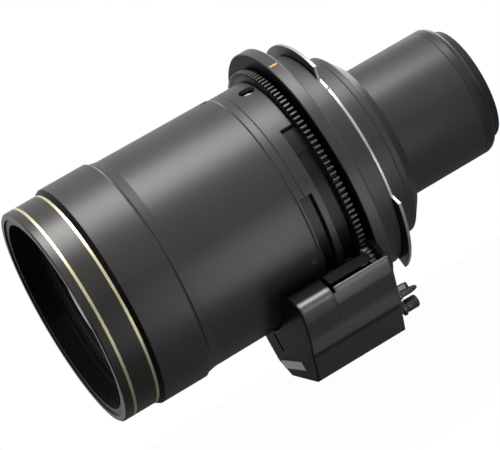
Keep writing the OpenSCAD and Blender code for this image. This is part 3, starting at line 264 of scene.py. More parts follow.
def makeTurnedGrain(values):
    # lathe lines along the Y axis over a fine blasted grain
    tree, given, result = newGroup(
        "turnedGrain", "ShaderNodeTree",
        [("Lines", "Float", 2500.0), ("Line Depth", "Float", 0.5), ("Grain", "Float", 9000.0)], skinOutputs)
    place = objectPlace(tree)
    lines = addNode(tree, "ShaderNodeTexNoise", {
        "W": splitVector(tree, place)["Y"], "Scale": given["Lines"], "Detail": values["lineDetail"]},
        noise_dimensions="1D")
    grain = noiseNode(tree, place, given["Grain"], values["grainDetail"])
    cloud = noiseNode(tree, place, *values["cloud"])
    cut = mathNode(tree, "MULTIPLY", lines, given["Line Depth"])
    tree.links.new(mathNode(tree, "ADD", cut, grain), result["Height"])
    tree.links.new(spread(tree, grain, *values["toneRange"]), result["Tone"])
    tree.links.new(spread(tree, cloud, *values["cloudRange"]), result["Cloud"])
    return tree


def makeMouldGrain(values):
    # the pebbled skin of a moulded cover
    tree, given, result = newGroup("mouldGrain", "ShaderNodeTree", [("Scale", "Float", 2600.0)], skinOutputs)
    place = objectPlace(tree)
    pebble = addNode(tree, "ShaderNodeTexVoronoi", {"Vector": place, "Scale": given["Scale"]},
                     feature="SMOOTH_F1")
    fine = noiseNode(tree, place, *values["fine"])
    cloud = noiseNode(tree, place, *values["cloud"])
    pits = mathNode(tree, "MULTIPLY", fine, values["fineShare"])
    tree.links.new(mathNode(tree, "ADD", pebble, pits), result["Height"])
    tree.links.new(spread(tree, fine, *values["toneRange"]), result["Tone"])
    tree.links.new(spread(tree, cloud, *values["cloudRange"]), result["Cloud"])
    return tree


def makeRoundPlace():
    # distance from the lens axis and place along it
    tree, _, result = newGroup("roundPlace", "ShaderNodeTree", [], [("Radius", "Float"), ("Along", "Float")])
    parts = splitVector(tree, objectPlace(tree))
    square = mathNode(tree, "ADD", mathNode(tree, "MULTIPLY", parts["X"], parts["X"]),
                      mathNode(tree, "MULTIPLY", parts["Z"], parts["Z"]))
    tree.links.new(mathNode(tree, "SQRT", square), result["Radius"])
    tree.links.new(parts["Y"], result["Along"])
    return tree


def makeFineDust(values):
    # sparse specks that lie on faces that look up
    tree, given, result = newGroup("fineDust", "ShaderNodeTree",
                                   [("Amount", "Float", 0.2)], [("Dust", "Float")])
    place = objectPlace(tree)
    normal = splitVector(tree, tree.nodes.new("ShaderNodeNewGeometry").outputs["Normal"])
    specks = spread(tree, noiseNode(tree, place, *values["specks"]), *values["speckRange"])
    patches = spread(tree, noiseNode(tree, place, *values["patches"]), *values["patchRange"])
    upward = spread(tree, normal["Z"], *values["upRange"])
    total = mathNode(tree, "MULTIPLY", mathNode(tree, "MULTIPLY", specks, patches), upward)
    tree.links.new(mathNode(tree, "MULTIPLY", total, given["Amount"]), result["Dust"])
    return tree


softEdge = makeSoftEdge(edgeSet)
turnedGrain = makeTurnedGrain(turnedSet)
mouldGrain = makeMouldGrain(mouldSet)
fineDust = makeFineDust(dustSet)
roundPlace = makeRoundPlace()
print("shader groups made")


# materials

surfaceSet = {"dustColour": (0.42, 0.41, 0.39), "roughSwing": 0.06, "edgePolish": 0.1, "reliefStrength": 0.6}

glassSet = {
    "bend": 1.52,
    "haze": (70.0, 3.0),
    "hazeRange": (0.4, 0.7),
    "roughRange": (0.012, 0.03),
    "clearTint": (0.97, 0.98, 1.0),
    "facingBlend": 0.5,
    "facingRange": (0.70, 0.92),
    # the colour of the painted reflection that glows on the coated glass
    "paintedSheenColour": (0.80, 0.73, 0.90, 1),
}


def groupNode(tree, group, values):
    node = tree.nodes.new("ShaderNodeGroup")
    node.node_tree = group
    for label, value in values.items():
        node.inputs[label].default_value = value
    return node.outputs


def blendColour(tree, factor, first, second):
    node = tree.nodes.new("ShaderNodeMix")
    node.data_type = "RGBA"
    feed(tree, node.inputs["Factor"], factor)
    # inputs 6 and 7 and output 2 are the colour sockets
    for index, value in ((6, first), (7, second)):
        feed(tree, node.inputs[index], (*value, 1) if isinstance(value, tuple) else value)
    return node.outputs[2]


def newMaterial(name):
    material = bpy.data.materials.new(name)
    material.use_nodes = True
    return material, material.node_tree, material.node_tree.nodes["Principled BSDF"].inputs


def surfaceFinish(name, skin, colour, cloudColour, edgeColour, rough, metallic=0.0, specular=0.5,
                  edgeRadius=0.0004, edgeWear=0.6, bump=0.00001, dust=0.15, skinValues=None, zones=()):
    # zones: what is measured, where the zone starts and is full, its colour and its gloss
    material, tree, shader = newMaterial(name)
    shader["Metallic"].default_value = metallic
    edge = groupNode(tree, softEdge, {"Radius": edgeRadius})
    grain = groupNode(tree, skin, skinValues or {})
    specks = groupNode(tree, fineDust, {"Amount": dust})
    base = blendColour(tree, grain["Cloud"], colour, cloudColour)
    worn = blendColour(tree, mathNode(tree, "MULTIPLY", edge["Edge"], edgeWear), base, edgeColour)
    skinColour = blendColour(tree, specks["Dust"], worn, surfaceSet["dustColour"])
    shine = specular
    place = groupNode(tree, roundPlace, {}) if zones else None
    for measure, start, full, zoneColour, zoneShine in zones:
        mask = spread(tree, place[measure], start, full)
        skinColour = blendColour(tree, mask, skinColour, zoneColour)
        shine = spread(tree, mask, 0.0, 1.0, shine, zoneShine)
    feed(tree, shader["Specular IOR Level"], shine)
    feed(tree, shader["Base Color"], skinColour)
    swing = surfaceSet["roughSwing"]
    matt = spread(tree, grain["Tone"], 0.0, 1.0, rough - swing, rough + swing)
    polish = mathNode(tree, "MULTIPLY", edge["Edge"], surfaceSet["edgePolish"])
    feed(tree, shader["Roughness"], mathNode(tree, "SUBTRACT", matt, polish))
    feed(tree, shader["Normal"], addNode(tree, "ShaderNodeBump", {
        "Strength": surfaceSet["reliefStrength"], "Distance": bump,
        "Height": grain["Height"], "Normal": edge["Normal"]}))
    return material


def lensGlass(name, tint, specularTint, paintedSheen=0.0):
    values = glassSet
    material, tree, shader = newMaterial(name)
    shader["Transmission Weight"].default_value = 1.0
    shader["IOR"].default_value = values["bend"]
    shader["Specular Tint"].default_value = (*specularTint, 1)
    haze = noiseNode(tree, objectPlace(tree), *values["haze"])
    feed(tree, shader["Roughness"], spread(tree, haze, *values["hazeRange"], *values["roughRange"]))
    feed(tree, shader["Base Color"], blendColour(tree, haze, tint, values["clearTint"]))
    if paintedSheen:
        # painted reflection: the glass glows at a grazing angle in place of the coating's reflection
        grazing = tree.nodes.new("ShaderNodeLayerWeight")
        grazing.inputs["Blend"].default_value = values["facingBlend"]
        level = spread(tree, grazing.outputs["Facing"], *values["facingRange"], 0.0, paintedSheen)
        feed(tree, shader["Emission Strength"], level)
        shader["Emission Color"].default_value = values["paintedSheenColour"]
    return material


barrelPaint = {
    "skin": turnedGrain, "colour": (0.028, 0.028, 0.0285), "cloudColour": (0.034, 0.034, 0.034),
    "edgeColour": (0.12, 0.12, 0.116), "rough": 0.40, "specular": 0.42,
    "skinValues": {"Lines": 2600.0, "Line Depth": 0.35, "Grain": 8000.0},
}

ringPaint = {
    "skin": turnedGrain, "colour": (0.013, 0.0125, 0.012), "cloudColour": (0.017, 0.016, 0.015),
    "edgeColour": (0.09, 0.087, 0.083), "rough": 0.38, "specular": 0.45,
    "skinValues": {"Lines": 5200.0, "Line Depth": 0.8, "Grain": 9000.0},
}

finishSets = {
    "barrelBlack": barrelPaint,
    "ringBlack": ringPaint,
    "frontRingBlack": {
        **ringPaint, "edgeColour": (0.10, 0.096, 0.09), "rough": 0.36, "specular": 0.5,
        # painted shade: darker and less glossy inside the bore
        "zones": [("Radius", 0.05325, 0.05300, (0.007, 0.007, 0.0072), 0.22)]},
    # painted shade: the front barrel's mouth chamfer beside the front ring is near-black and almost
    # glossless
    "frontBarrelBlack": {**barrelPaint, "zones": [("Along", -0.1215, -0.1218, (0.004, 0.004, 0.004), 0.1)]},
    "flangeBlack": {
        **barrelPaint, "rough": 0.38, "specular": 0.45,
        # painted shade: the flange's forward part is near-black and almost glossless
        "zones": [("Along", -0.0062, -0.0065, (0.002, 0.002, 0.002), 0.03)]},
    "innerBlack": {
        "skin": turnedGrain, "colour": (0.012, 0.012, 0.013), "cloudColour": (0.016, 0.016, 0.017),
        "edgeColour": (0.04, 0.04, 0.04), "rough": 0.62, "specular": 0.3, "dust": 0.05},
    "anodisedSleeve": {
        "skin": turnedGrain, "colour": (0.0085, 0.009, 0.0115), "cloudColour": (0.011, 0.0115, 0.015),
        "edgeColour": (0.05, 0.05, 0.056), "rough": 0.42, "specular": 0.28,
        "skinValues": {"Lines": 4000.0, "Line Depth": 1.0}},
    "trimGold": {
        "skin": turnedGrain, "colour": (0.72, 0.66, 0.45), "cloudColour": (0.66, 0.60, 0.40),
        "edgeColour": (0.85, 0.8, 0.62), "rough": 0.36, "metallic": 0.85, "edgeRadius": 0.0002,
        "skinValues": {"Lines": 6000.0, "Line Depth": 1.0}},
    "milledRing": {
        "skin": turnedGrain, "colour": (0.55, 0.55, 0.53), "cloudColour": (0.50, 0.50, 0.48),
        "edgeColour": (0.8, 0.8, 0.78), "rough": 0.30, "metallic": 0.9, "edgeRadius": 0.0003,
        "edgeWear": 0.8, "zones": [("Along", 0.01195, 0.01180, (0.035, 0.035, 0.035), 0.3)]},
    "markOrange": {
        "skin": mouldGrain, "colour": (0.86, 0.42, 0.05), "cloudColour": (0.80, 0.36, 0.04),
        "edgeColour": (0.9, 0.5, 0.1), "rough": 0.45, "edgeRadius": 0.0001},
    "brightSteel": {
        "skin": turnedGrain, "colour": (0.62, 0.62, 0.61), "cloudColour": (0.55, 0.55, 0.54),
        "edgeColour": (0.85, 0.85, 0.84), "rough": 0.24, "metallic": 1.0, "edgeRadius": 0.00015},
    "wellScrew": {
        "skin": turnedGrain, "colour": (0.74, 0.74, 0.73), "cloudColour": (0.66, 0.66, 0.65),
        "edgeColour": (0.9, 0.9, 0.89), "rough": 0.5, "metallic": 0.25, "edgeRadius": 0.00012, "dust": 0.0},
    "darkScrew": {
        "skin": turnedGrain, "colour": (0.11, 0.11, 0.11), "cloudColour": (0.13, 0.13, 0.13),
        "edgeColour": (0.5, 0.5, 0.5), "rough": 0.4, "metallic": 0.3, "edgeRadius": 0.00012,
        "edgeWear": 0.9},
    "gearBlack": {
        "skin": mouldGrain, "colour": (0.005, 0.005, 0.0052), "cloudColour": (0.007, 0.007, 0.0072),
        "edgeColour": (0.03, 0.03, 0.03), "rough": 0.42, "specular": 0.25, "edgeRadius": 0.00015,
        # painted highlight: the tooth tips are lighter and glossier by radius
        "zones": [("Radius", 0.0589, 0.0598, (0.12, 0.12, 0.12), 0.4)]},
    "gearBrass": {
        "skin": turnedGrain, "colour": (0.62, 0.47, 0.20), "cloudColour": (0.55, 0.40, 0.16),
        "edgeColour": (0.8, 0.68, 0.38), "rough": 0.3, "metallic": 1.0, "edgeRadius": 0.0001},
    "gearWhite": {
        "skin": mouldGrain, "colour": (0.72, 0.70, 0.64), "cloudColour": (0.66, 0.64, 0.58),
        "edgeColour": (0.8, 0.78, 0.72), "rough": 0.5, "edgeRadius": 0.0001},
    # the cover's zones paint light and shade: painted shade on the top beside the barrel, a painted
    # highlight on the shoulder, a painted highlight over painted shade at the soft crease, and painted shade
    # on the front
    "coverPlastic": {
        "skin": mouldGrain, "colour": (0.022, 0.022, 0.023), "cloudColour": (0.028, 0.028, 0.029),
        "edgeColour": (0.06, 0.06, 0.06), "rough": 0.38, "specular": 0.55, "edgeRadius": 0.0016,
        "edgeWear": 0.25, "bump": 0.00003, "skinValues": {"Scale": 2400.0},
        "zones": [("Radius", 0.0788, 0.0772, (0.085, 0.085, 0.086), 0.8),
                  ("Radius", 0.0757, 0.0738, (0.005, 0.005, 0.005), 0.05),
                  ("Radius", 0.0809, 0.0818, (0.062, 0.062, 0.063), 0.7),
                  ("Radius", 0.0819, 0.0825, (0.012, 0.012, 0.012), 0.25),
                  ("Radius", 0.0828, 0.0834, (0.024, 0.024, 0.025), 0.5),
                  ("Along", -0.0548, -0.0560, (0.010, 0.010, 0.0105), 0.015)]},
    "connectorPlastic": {
        "skin": mouldGrain, "colour": (0.022, 0.022, 0.023), "cloudColour": (0.028, 0.028, 0.029),
        "edgeColour": (0.09, 0.09, 0.09), "rough": 0.34, "specular": 0.6, "edgeRadius": 0.0003},
    # painted shade: the base plastic is near-black and almost glossless, standing in for the shade it lies
    # in under the barrel
    "basePlastic": {
        "skin": mouldGrain, "colour": (0.006, 0.006, 0.006), "cloudColour": (0.008, 0.008, 0.008),
        "edgeColour": (0.025, 0.025, 0.025), "rough": 0.6, "specular": 0.06, "edgeRadius": 0.0005,
        "skinValues": {"Scale": 1800.0}},
    "labelGrey": {
        "skin": mouldGrain, "colour": (0.80, 0.80, 0.81), "cloudColour": (0.74, 0.74, 0.75),
        "edgeColour": (0.9, 0.9, 0.9), "rough": 0.4, "specular": 1.0, "edgeRadius": 0.0001},
    "pinionSteel": {
        "skin": turnedGrain, "colour": (0.24, 0.24, 0.235), "cloudColour": (0.20, 0.20, 0.195),
        "edgeColour": (0.5, 0.5, 0.49), "rough": 0.34, "metallic": 1.0, "edgeRadius": 0.00012},
    "motorCan": {
        "skin": turnedGrain, "colour": (0.52, 0.52, 0.53), "cloudColour": (0.46, 0.46, 0.47),
        "edgeColour": (0.75, 0.75, 0.75), "rough": 0.32, "metallic": 1.0, "edgeRadius": 0.0003},
    "sensorBlue": {
        "skin": mouldGrain, "colour": (0.02, 0.08, 0.14), "cloudColour": (0.03, 0.09, 0.16),
        "edgeColour": (0.1, 0.16, 0.2), "rough": 0.45, "edgeRadius": 0.0002},
}

glassFinishes = {
    # the front glass carries a painted reflection, an emission at a grazing angle
    "frontGlass": {"tint": (0.94, 0.93, 1.0), "specularTint": (0.80, 0.62, 1.0), "paintedSheen": 0.42},
    "innerGlass": {"tint": (0.95, 0.98, 0.96), "specularTint": (0.70, 0.9, 0.8)},
}

finishes = {name: surfaceFinish(name, **values) for name, values in finishSets.items()}
finishes.update({name: lensGlass(name, **values) for name, values in glassFinishes.items()})

nodeFinish = {
    "ringBlack": ["rear_end_ring"],
    "frontRingBlack": ["front_ring"],
    "frontBarrelBlack": ["front_barrel"],
    "flangeBlack": ["mount_flange"],
    "trimGold": ["trim_lines"],
    "innerBlack": [
        "front_retainer", "front_cell", "inner_retainer", "variator_cell", "variator_retainer",
        "compensator_cell", "compensator_retainer", "relay_spacer", "rear_spacer", "rear_retainer"],
    "frontGlass": ["front_lens", "rear_lens"],
    "innerGlass": [
        "second_lens", "third_lens", "variator_front_lens", "variator_rear_lens", "compensator_lens",
        "relay_lens", "field_lens"],
    "barrelBlack": [
        "main_barrel", "mount_barrel", "mount_spigot", "rear_collar", "rear_shroud", "rear_tube"],
    "anodisedSleeve": ["focus_drum", "guide_barrel", "cam_tube"],
    "milledRing": ["bayonet_ring"],
    "markOrange": ["index_mark"],
    "brightSteel": [
        "front_pins", "drum_snap_ring", "zoom_keys", "ring_screws", "variator_pins", "compensator_pins",
        "bayonet_screws"],
    "pinionSteel": ["zoom_pinion"],
    "darkScrew": ["barrel_screws", "cover_screws"],
    "gearBlack": ["zoom_ring"],
    "gearBrass": ["zoom_motor_gear", "focus_pinion", "focus_motor_gear"],
    "gearWhite": ["zoom_sensor_gear", "focus_sensor_gear"],
    "coverPlastic": ["drive_cover", "connector"],
    "basePlastic": ["drive_base", "pinion_bracket"],
    "labelGrey": ["label_plate"],
    "motorCan": ["zoom_motor", "focus_motor"],
    "sensorBlue": ["zoom_sensor", "focus_sensor"],
}


def dressNodes(table):
    done = set()
    for finish, names in table.items():
        for name in names:
            for place in nodes[name].material_slots:
                place.material = finishes[finish]
            done.add(name)
    print("nodes without a finish:", sorted(set(nodes) - done))


dressNodes(nodeFinish)


# mesh helpers, in millimetres along the part's own axes

def meshOf(name, points, faces):
    mesh = bpy.data.meshes.new(name)
    mesh.from_pydata([tuple(part * mm for part in point) for point in points], [], faces)
    return mesh


def smoothOver(mesh, sharp):
    # smooth faces, with sharp edges over the angle
    mesh.shade_smooth()
    mesh.set_sharp_from_angle(angle=math.radians(sharp))
    return mesh


def tidyMesh(mesh, sharp):
    # outward normals, then smooth faces
    work = bmesh.new()
    work.from_mesh(mesh)
    bmesh.ops.recalc_face_normals(work, faces=work.faces)
    work.to_mesh(mesh)
    work.free()
    return smoothOver(mesh, sharp)


def latheMesh(name, profile, steps, centre=(0.0, 0.0)):
    # closed profile of (radius, place along Y), turned round an axis at centre
    points, rows = [], []
    for radius, y in profile:
        if not radius:
            rows.append([len(points)] * steps)
            points.append((centre[0], y, centre[1]))
            continue
        rows.append(list(range(len(points), len(points) + steps)))
        for k in range(steps):
            x, z = spot(radius, 360 * k / steps)
            points.append((centre[0] + x, y, centre[1] + z))
    faces = []
    for first, second in zip(rows, rows[1:] + rows[:1]):
        for k in range(steps):
            after = (k + 1) % steps
            face = list(dict.fromkeys([first[k], first[after], second[after], second[k]]))
            if len(face) > 2:
                faces.append(face)
    return meshOf(name, points, faces)


def prismMesh(name, outline, y0, y1):
    count = len(outline)
    points = [(x, y, z) for y in (y0, y1) for x, z in outline]
    faces = [list(range(count)), list(range(2 * count - 1, count - 1, -1))]
    faces += [[k, (k + 1) % count, count + (k + 1) % count, count + k] for k in range(count)]
    return meshOf(name, points, faces)


def arcOutline(inner, outer, start, end, steps):
    angles = [start + (end - start) * k / steps for k in range(steps + 1)]
    return [spot(outer, a) for a in angles] + [spot(inner, a) for a in reversed(angles)]


def joinMeshes(name, parts):
    # parts: (mesh, material index)
    work = bmesh.new()
    for mesh, index in parts:
        before = len(work.faces)
        work.from_mesh(mesh)
        work.faces.ensure_lookup_table()
        for face in work.faces[before:]:
            face.material_index = index
    joined = bpy.data.meshes.new(name)
    work.to_mesh(joined)
    work.free()
    return joined


def evaluated(name, mesh, kind, settings):
    # the mesh after one modifier, as a plain mesh
    source = bpy.data.objects.new(name, mesh)
    bpy.context.scene.collection.objects.link(source)
    modifier = source.modifiers.new("shape", kind)
    if kind == "NODES":
        modifier.node_group = settings["tree"]
        for item in settings["tree"].interface.items_tree:
            if item.item_type == "SOCKET" and item.in_out == "INPUT" and item.name in settings:
                modifier[item.identifier] = settings[item.name]
    else:
        for label, value in settings.items():
            setattr(modifier, label, value)
    plain = bpy.data.meshes.new_from_object(source.evaluated_get(bpy.context.evaluated_depsgraph_get()))
    bpy.data.objects.remove(source)
    return plain


def bevelled(name, mesh, width, segments):
    settings = {"width": width * mm, "segments": segments, "limit_method": "ANGLE"}
    return evaluated(name, mesh, "BEVEL", settings)


def addPiece(name, mesh, body, replaced, looks):
    # clearing resets the faces' material indices, so an empty list is left alone
    if len(mesh.materials):
        mesh.materials.clear()
    for look in looks:
        mesh.materials.append(finishes[look])
    piece = bpy.data.objects.new(name, mesh)
    bpy.context.scene.collection.objects.link(piece)
    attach(piece, body)
    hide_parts(replaced)


# geometry node trees

drillSides = 36
headSides = 36
shankSides = 20


def newGeoTree(name, inputs):
    taken = [("Geometry", "Geometry", None)] + [(*item, None) for item in inputs]
    return newGroup(name, "GeometryNodeTree", taken, [("Geometry", "Geometry")])


def cutAway(tree, body, tool):
    return addNode(tree, "GeometryNodeMeshBoolean", {"Mesh 1": body, "Mesh 2": tool},
                   operation="DIFFERENCE", solver="EXACT")


def together(tree, *shapes):
    node = tree.nodes.new("GeometryNodeJoinGeometry")
    for shape in shapes:
        tree.links.new(shape, node.inputs[0])
    return node.outputs[0]


def endTree(tree, shape, given, result):
    whole = addNode(tree, "GeometryNodeRealizeInstances", {"Geometry": shape})
    dressed = addNode(tree, "GeometryNodeSetMaterial", {"Geometry": whole, "Material": given["Material"]})
    tree.links.new(dressed, result["Geometry"])


def cylinder(tree, sides, radius, depth):
    return addNode(tree, "GeometryNodeMeshCylinder", {"Vertices": sides, "Radius": radius, "Depth": depth})


def meshPlace(tree):
    # the parts of each point's place, and a mask of the upper half
    parts = splitVector(tree, tree.nodes.new("GeometryNodeInputPosition").outputs[0])
    return parts, mathNode(tree, "GREATER_THAN", parts["Z"], 0.0)


def ringOfPoints(tree, count, phase, radius, along):
    # points round the Y axis by their index, and the turn that stands Z out from it
    index = tree.nodes.new("GeometryNodeInputIndex").outputs[0]
    step = mathNode(tree, "DIVIDE", math.tau, count)
    angle = mathNode(tree, "ADD", phase, mathNode(tree, "MULTIPLY", index, step))
    place = combine(tree, X=mathNode(tree, "MULTIPLY", mathNode(tree, "COSINE", angle), radius), Y=along,
                    Z=mathNode(tree, "MULTIPLY", mathNode(tree, "SINE", angle), radius))
    points = addNode(tree, "GeometryNodePoints", {"Count": count, "Position": place})
    turn = combine(tree, Y=mathNode(tree, "SUBTRACT", math.pi / 2, angle))
    return points, addNode(tree, "FunctionNodeEulerToRotation", {0: turn})


def ringOfShapes(tree, shape, count, phase, radius, along):
    points, turn = ringOfPoints(tree, count, phase, radius, along)
    return addNode(tree, "GeometryNodeInstanceOnPoints", {
        "Points": points, "Instance": shape, "Rotation": turn})


def makeToothedRing():
    # teeth on the given ring, and drilled seats in it
    tree, given, result = newGeoTree("toothedRing", [
        ("Teeth", "Int"), ("Root Radius", "Float"), ("Tip Radius", "Float"), ("Tooth Width", "Float"),
        ("Tooth Thickness", "Float"), ("Tip Share", "Float"), ("Middle", "Float"), ("Phase", "Float"),
        ("Holes", "Int"), ("Hole Phase", "Float"), ("Hole Along", "Float"), ("Hole Floor", "Float"),
        ("Hole Radius", "Float"), ("Material", "Material")])
    height = mathNode(tree, "SUBTRACT", given["Tip Radius"], given["Root Radius"])
    size = combine(tree, X=given["Tooth Thickness"], Y=given["Tooth Width"], Z=height)
    block = addNode(tree, "GeometryNodeMeshCube", {"Size": size})
    parts, upper = meshPlace(tree)
    narrow = spread(tree, upper, 0.0, 1.0, 1.0, given["Tip Share"])
    shaped = combine(tree, X=mathNode(tree, "MULTIPLY", parts["X"], narrow), Y=parts["Y"], Z=parts["Z"])
    tooth = addNode(tree, "GeometryNodeSetPosition", {"Geometry": block, "Position": shaped})
    radii = mathNode(tree, "ADD", given["Tip Radius"], given["Root Radius"])
    middle = mathNode(tree, "MULTIPLY", radii, 0.5)
    teeth = ringOfShapes(tree, tooth, given["Teeth"], given["Phase"], middle, given["Middle"])
    drillLength = mathNode(tree, "MULTIPLY", given["Hole Radius"], 2.0)
    drill = cylinder(tree, drillSides, given["Hole Radius"], drillLength)
    drillPlace = mathNode(tree, "ADD", given["Hole Floor"], given["Hole Radius"])
    drills = ringOfShapes(tree, drill, given["Holes"], given["Hole Phase"], drillPlace, given["Hole Along"])
    drills = addNode(tree, "GeometryNodeRealizeInstances", {"Geometry": drills})
    endTree(tree, together(tree, cutAway(tree, given["Geometry"], drills), teeth), given, result)
    return tree


def makeCrossScrews():
    # a head with a cross recess and a shank at each vertex, along its aim
    tree, given, result = newGeoTree("crossScrews", [
        ("Head Radius", "Float"), ("Head Height", "Float"), ("Crown Share", "Float"),
        ("Recess Width", "Float"), ("Recess Reach", "Float"), ("Recess Depth", "Float"),
        ("Shank Radius", "Float"), ("Shank Length", "Float"), ("Material", "Material")])
    lift = mathNode(tree, "MULTIPLY", given["Head Height"], 0.5)
    column = cylinder(tree, headSides, given["Head Radius"], given["Head Height"])
    parts, upper = meshPlace(tree)
    shrink = spread(tree, upper, 0.0, 1.0, 1.0, given["Crown Share"])
    shaped = combine(tree, X=mathNode(tree, "MULTIPLY", parts["X"], shrink),
                     Y=mathNode(tree, "MULTIPLY", parts["Y"], shrink),
                     Z=mathNode(tree, "SUBTRACT", parts["Z"], lift))
    head = addNode(tree, "GeometryNodeSetPosition", {"Geometry": column, "Position": shaped})
    deep = mathNode(tree, "MULTIPLY", given["Recess Depth"], 2.0)
    for x, y in (("Recess Reach", "Recess Width"), ("Recess Width", "Recess Reach")):
        bar = addNode(tree, "GeometryNodeMeshCube", {"Size": combine(tree, X=given[x], Y=given[y], Z=deep)})
        head = cutAway(tree, head, bar)
    rod = cylinder(tree, shankSides, given["Shank Radius"], given["Shank Length"])
    halfShank = mathNode(tree, "MULTIPLY", given["Shank Length"], 0.5)
    drop = mathNode(tree, "ADD", given["Head Height"], halfShank)
    down = combine(tree, Z=mathNode(tree, "MULTIPLY", drop, -1.0))
    shank = addNode(tree, "GeometryNodeTransform", {"Geometry": rod, "Translation": down})
    aim = addNode(tree, "GeometryNodeInputNamedAttribute", {"Name": "aim"}, data_type="FLOAT_VECTOR")
    turn = addNode(tree, "FunctionNodeAlignRotationToVector", {"Vector": aim}, axis="Z")
    screws = addNode(tree, "GeometryNodeInstanceOnPoints", {
        "Points": given["Geometry"], "Instance": together(tree, head, shank), "Rotation": turn})
    endTree(tree, screws, given, result)
    return tree


toothedRing = makeToothedRing()
crossScrews = makeCrossScrews()
print("geometry trees made")


# zoom ring

zoomRingSet = {
    "inner": 50.0,
    "hub": 52.6,
    "hubY": (-20.5, -6.9),
    "ringY": (-11.3, -8.0),
    "root": 57.8,
    "tip": 59.85,
    "sides": 262,
    "teeth": 131,
    "phase": -49.0,
    "toothFoot": 1.95,
    "tipShare": 0.40,
    "sink": 0.3,
    "holes": 3,
    "holePhase": 62.0,
    "holeY": -16.5,
    "holeFloor": 50.9,
    "holeRadius": 3.0,
    "lug": (50.6, 53.6),
    "lugY": (-18.5, -11.3),
    "lugAngles": (11.5, 24.4),
    "lugSteps": 8,
    "sharp": 30,
    "wholeSharp": 28,
}


def makeZoomRing(values):
    inner, hub, root = values["inner"], values["hub"], values["root"]
    hubFrom, hubTo = values["hubY"]
    ringFrom, ringTo = values["ringY"]
    profile = [(inner, hubFrom), (hub, hubFrom), (hub, ringFrom), (root, ringFrom),
               (root, ringTo), (hub, ringTo), (hub, hubTo), (inner, hubTo)]
    body = tidyMesh(latheMesh("zoomRingBody", profile, values["sides"]), values["sharp"])
    plain = evaluated("zoomRingSource", body, "NODES", {
        "tree": toothedRing,
        "Teeth": values["teeth"],
        "Root Radius": (root - values["sink"]) * mm,
        "Tip Radius": values["tip"] * mm,
        "Tooth Width": (ringTo - ringFrom) * mm,
        "Tooth Thickness": values["toothFoot"] * mm,
        "Tip Share": values["tipShare"],
        "Middle": (ringFrom + ringTo) / 2 * mm,
        "Phase": math.radians(values["phase"]),
        "Holes": values["holes"],
        "Hole Phase": math.radians(values["holePhase"]),
        "Hole Along": values["holeY"] * mm,
        "Hole Floor": values["holeFloor"] * mm,
        "Hole Radius": values["holeRadius"] * mm,
        "Material": finishes["gearBlack"],
    })
    outline = arcOutline(*values["lug"], *values["lugAngles"], values["lugSteps"])
    lug = tidyMesh(prismMesh("stopLug", outline, *values["lugY"]), values["sharp"])
    whole = smoothOver(joinMeshes("zoomRingMesh", [(plain, 0), (lug, 0)]), values["wholeSharp"])
    addPiece("zoomRing", whole, "zoom_drum", "zoom_ring", ["gearBlack"])


makeZoomRing(zoomRingSet)
print("zoom ring made")


# screws

def screwPoints(name, places):
    # places: (x, y, z) in millimetres and a direction
    mesh = meshOf(name, [place for place, aim in places], [])
    aims = mesh.attributes.new("aim", "FLOAT_VECTOR", "POINT")
    for index, (place, aim) in enumerate(places):
        aims.data[index].vector = aim
    return mesh


def evenAngles(first, count):
    return [first + 360 * k / count for k in range(count)]


def radialPlaces(radius, angles, heights):
    places = []
    for y in heights:
        for angle in angles:
            x, z = spot(radius, angle)
            places.append(((x, y, z), (x / radius, 0.0, z / radius)))
    return places


def rearPlaces(radius, angles, y):
    places = []
    for angle in angles:
        x, z = spot(radius, angle)
        places.append(((x, y, z), (0.0, 1.0, 0.0)))
    return places


screwSharp = 30

# the housing's two lower corners, as shares of its depth, and the direction in which its bottom faces
nearCorner, farCorner = (0.270, -1.055), (-0.221, -0.969)
bottomAngle = math.degrees(math.atan2(farCorner[0] - nearCorner[0], nearCorner[1] - farCorner[1]))

# sizes in millimetres, by the names of the tree's inputs
screwSets = {
    "ringScrews": {
        "places": radialPlaces(52.3, evenAngles(62, 3), (-16.5,)),
        "sizes": {"Head Radius": 2.95, "Head Height": 1.35, "Recess Width": 0.85, "Recess Reach": 3.7,
                  "Recess Depth": 0.75, "Shank Radius": 0.9, "Shank Length": 0.05},
        "crown": 0.9, "look": "wellScrew", "slot": "screw_steel",
        "node": "ring_screws", "body": "zoom_drum"},
    "barrelScrews": {
        "places": radialPlaces(54.85, evenAngles(-41, 3), (-33.7,)),
        "sizes": {"Head Radius": 1.55, "Head Height": 1.0, "Recess Width": 0.6, "Recess Reach": 2.3,
                  "Recess Depth": 0.8, "Shank Radius": 0.7, "Shank Length": 0.05},
        "crown": 0.9, "look": "darkScrew", "slot": "screw_black",
        "node": "barrel_screws", "body": "lens_body"},
    "bayonetScrews": {
        "places": rearPlaces(52.35, evenAngles(20, 6), 13.25),
        "sizes": {"Head Radius": 1.95, "Head Height": 1.05, "Recess Width": 0.6, "Recess Reach": 2.5,
                  "Recess Depth": 0.6, "Shank Radius": 1.45, "Shank Length": 8.0},
        "crown": 0.92, "look": "brightSteel", "slot": "screw_steel",
        "node": "bayonet_screws", "body": "lens_body"},
    "coverScrews": {
        "places": radialPlaces(80.93, [bottomAngle], (-44.5, -14.5)),
        "sizes": {"Head Radius": 2.35, "Head Height": 0.84, "Recess Width": 0.7, "Recess Reach": 2.9,
                  "Recess Depth": 0.48, "Shank Radius": 1.1, "Shank Length": 6.0},
        "crown": 0.88, "look": "darkScrew", "slot": "screw_black",
        "node": "cover_screws", "body": "lens_body"},
}


def makeScrews(name, values):
    plain = evaluated(name + "Source", screwPoints(name + "Points", values["places"]), "NODES", {
        "tree": crossScrews, "Crown Share": values["crown"], "Material": finishes[values["look"]],
        **{label: size * mm for label, size in values["sizes"].items()}})
    whole = smoothOver(plain, screwSharp)
    addPiece(name, whole, values["body"], values["node"], [values["look"]])


for screwName, screwValues in screwSets.items():
    makeScrews(screwName, screwValues)
print("screws made")


# lens faces that the light plays on

frontLensRadius = 44.8
frontCurve = 2.68 * frontLensRadius

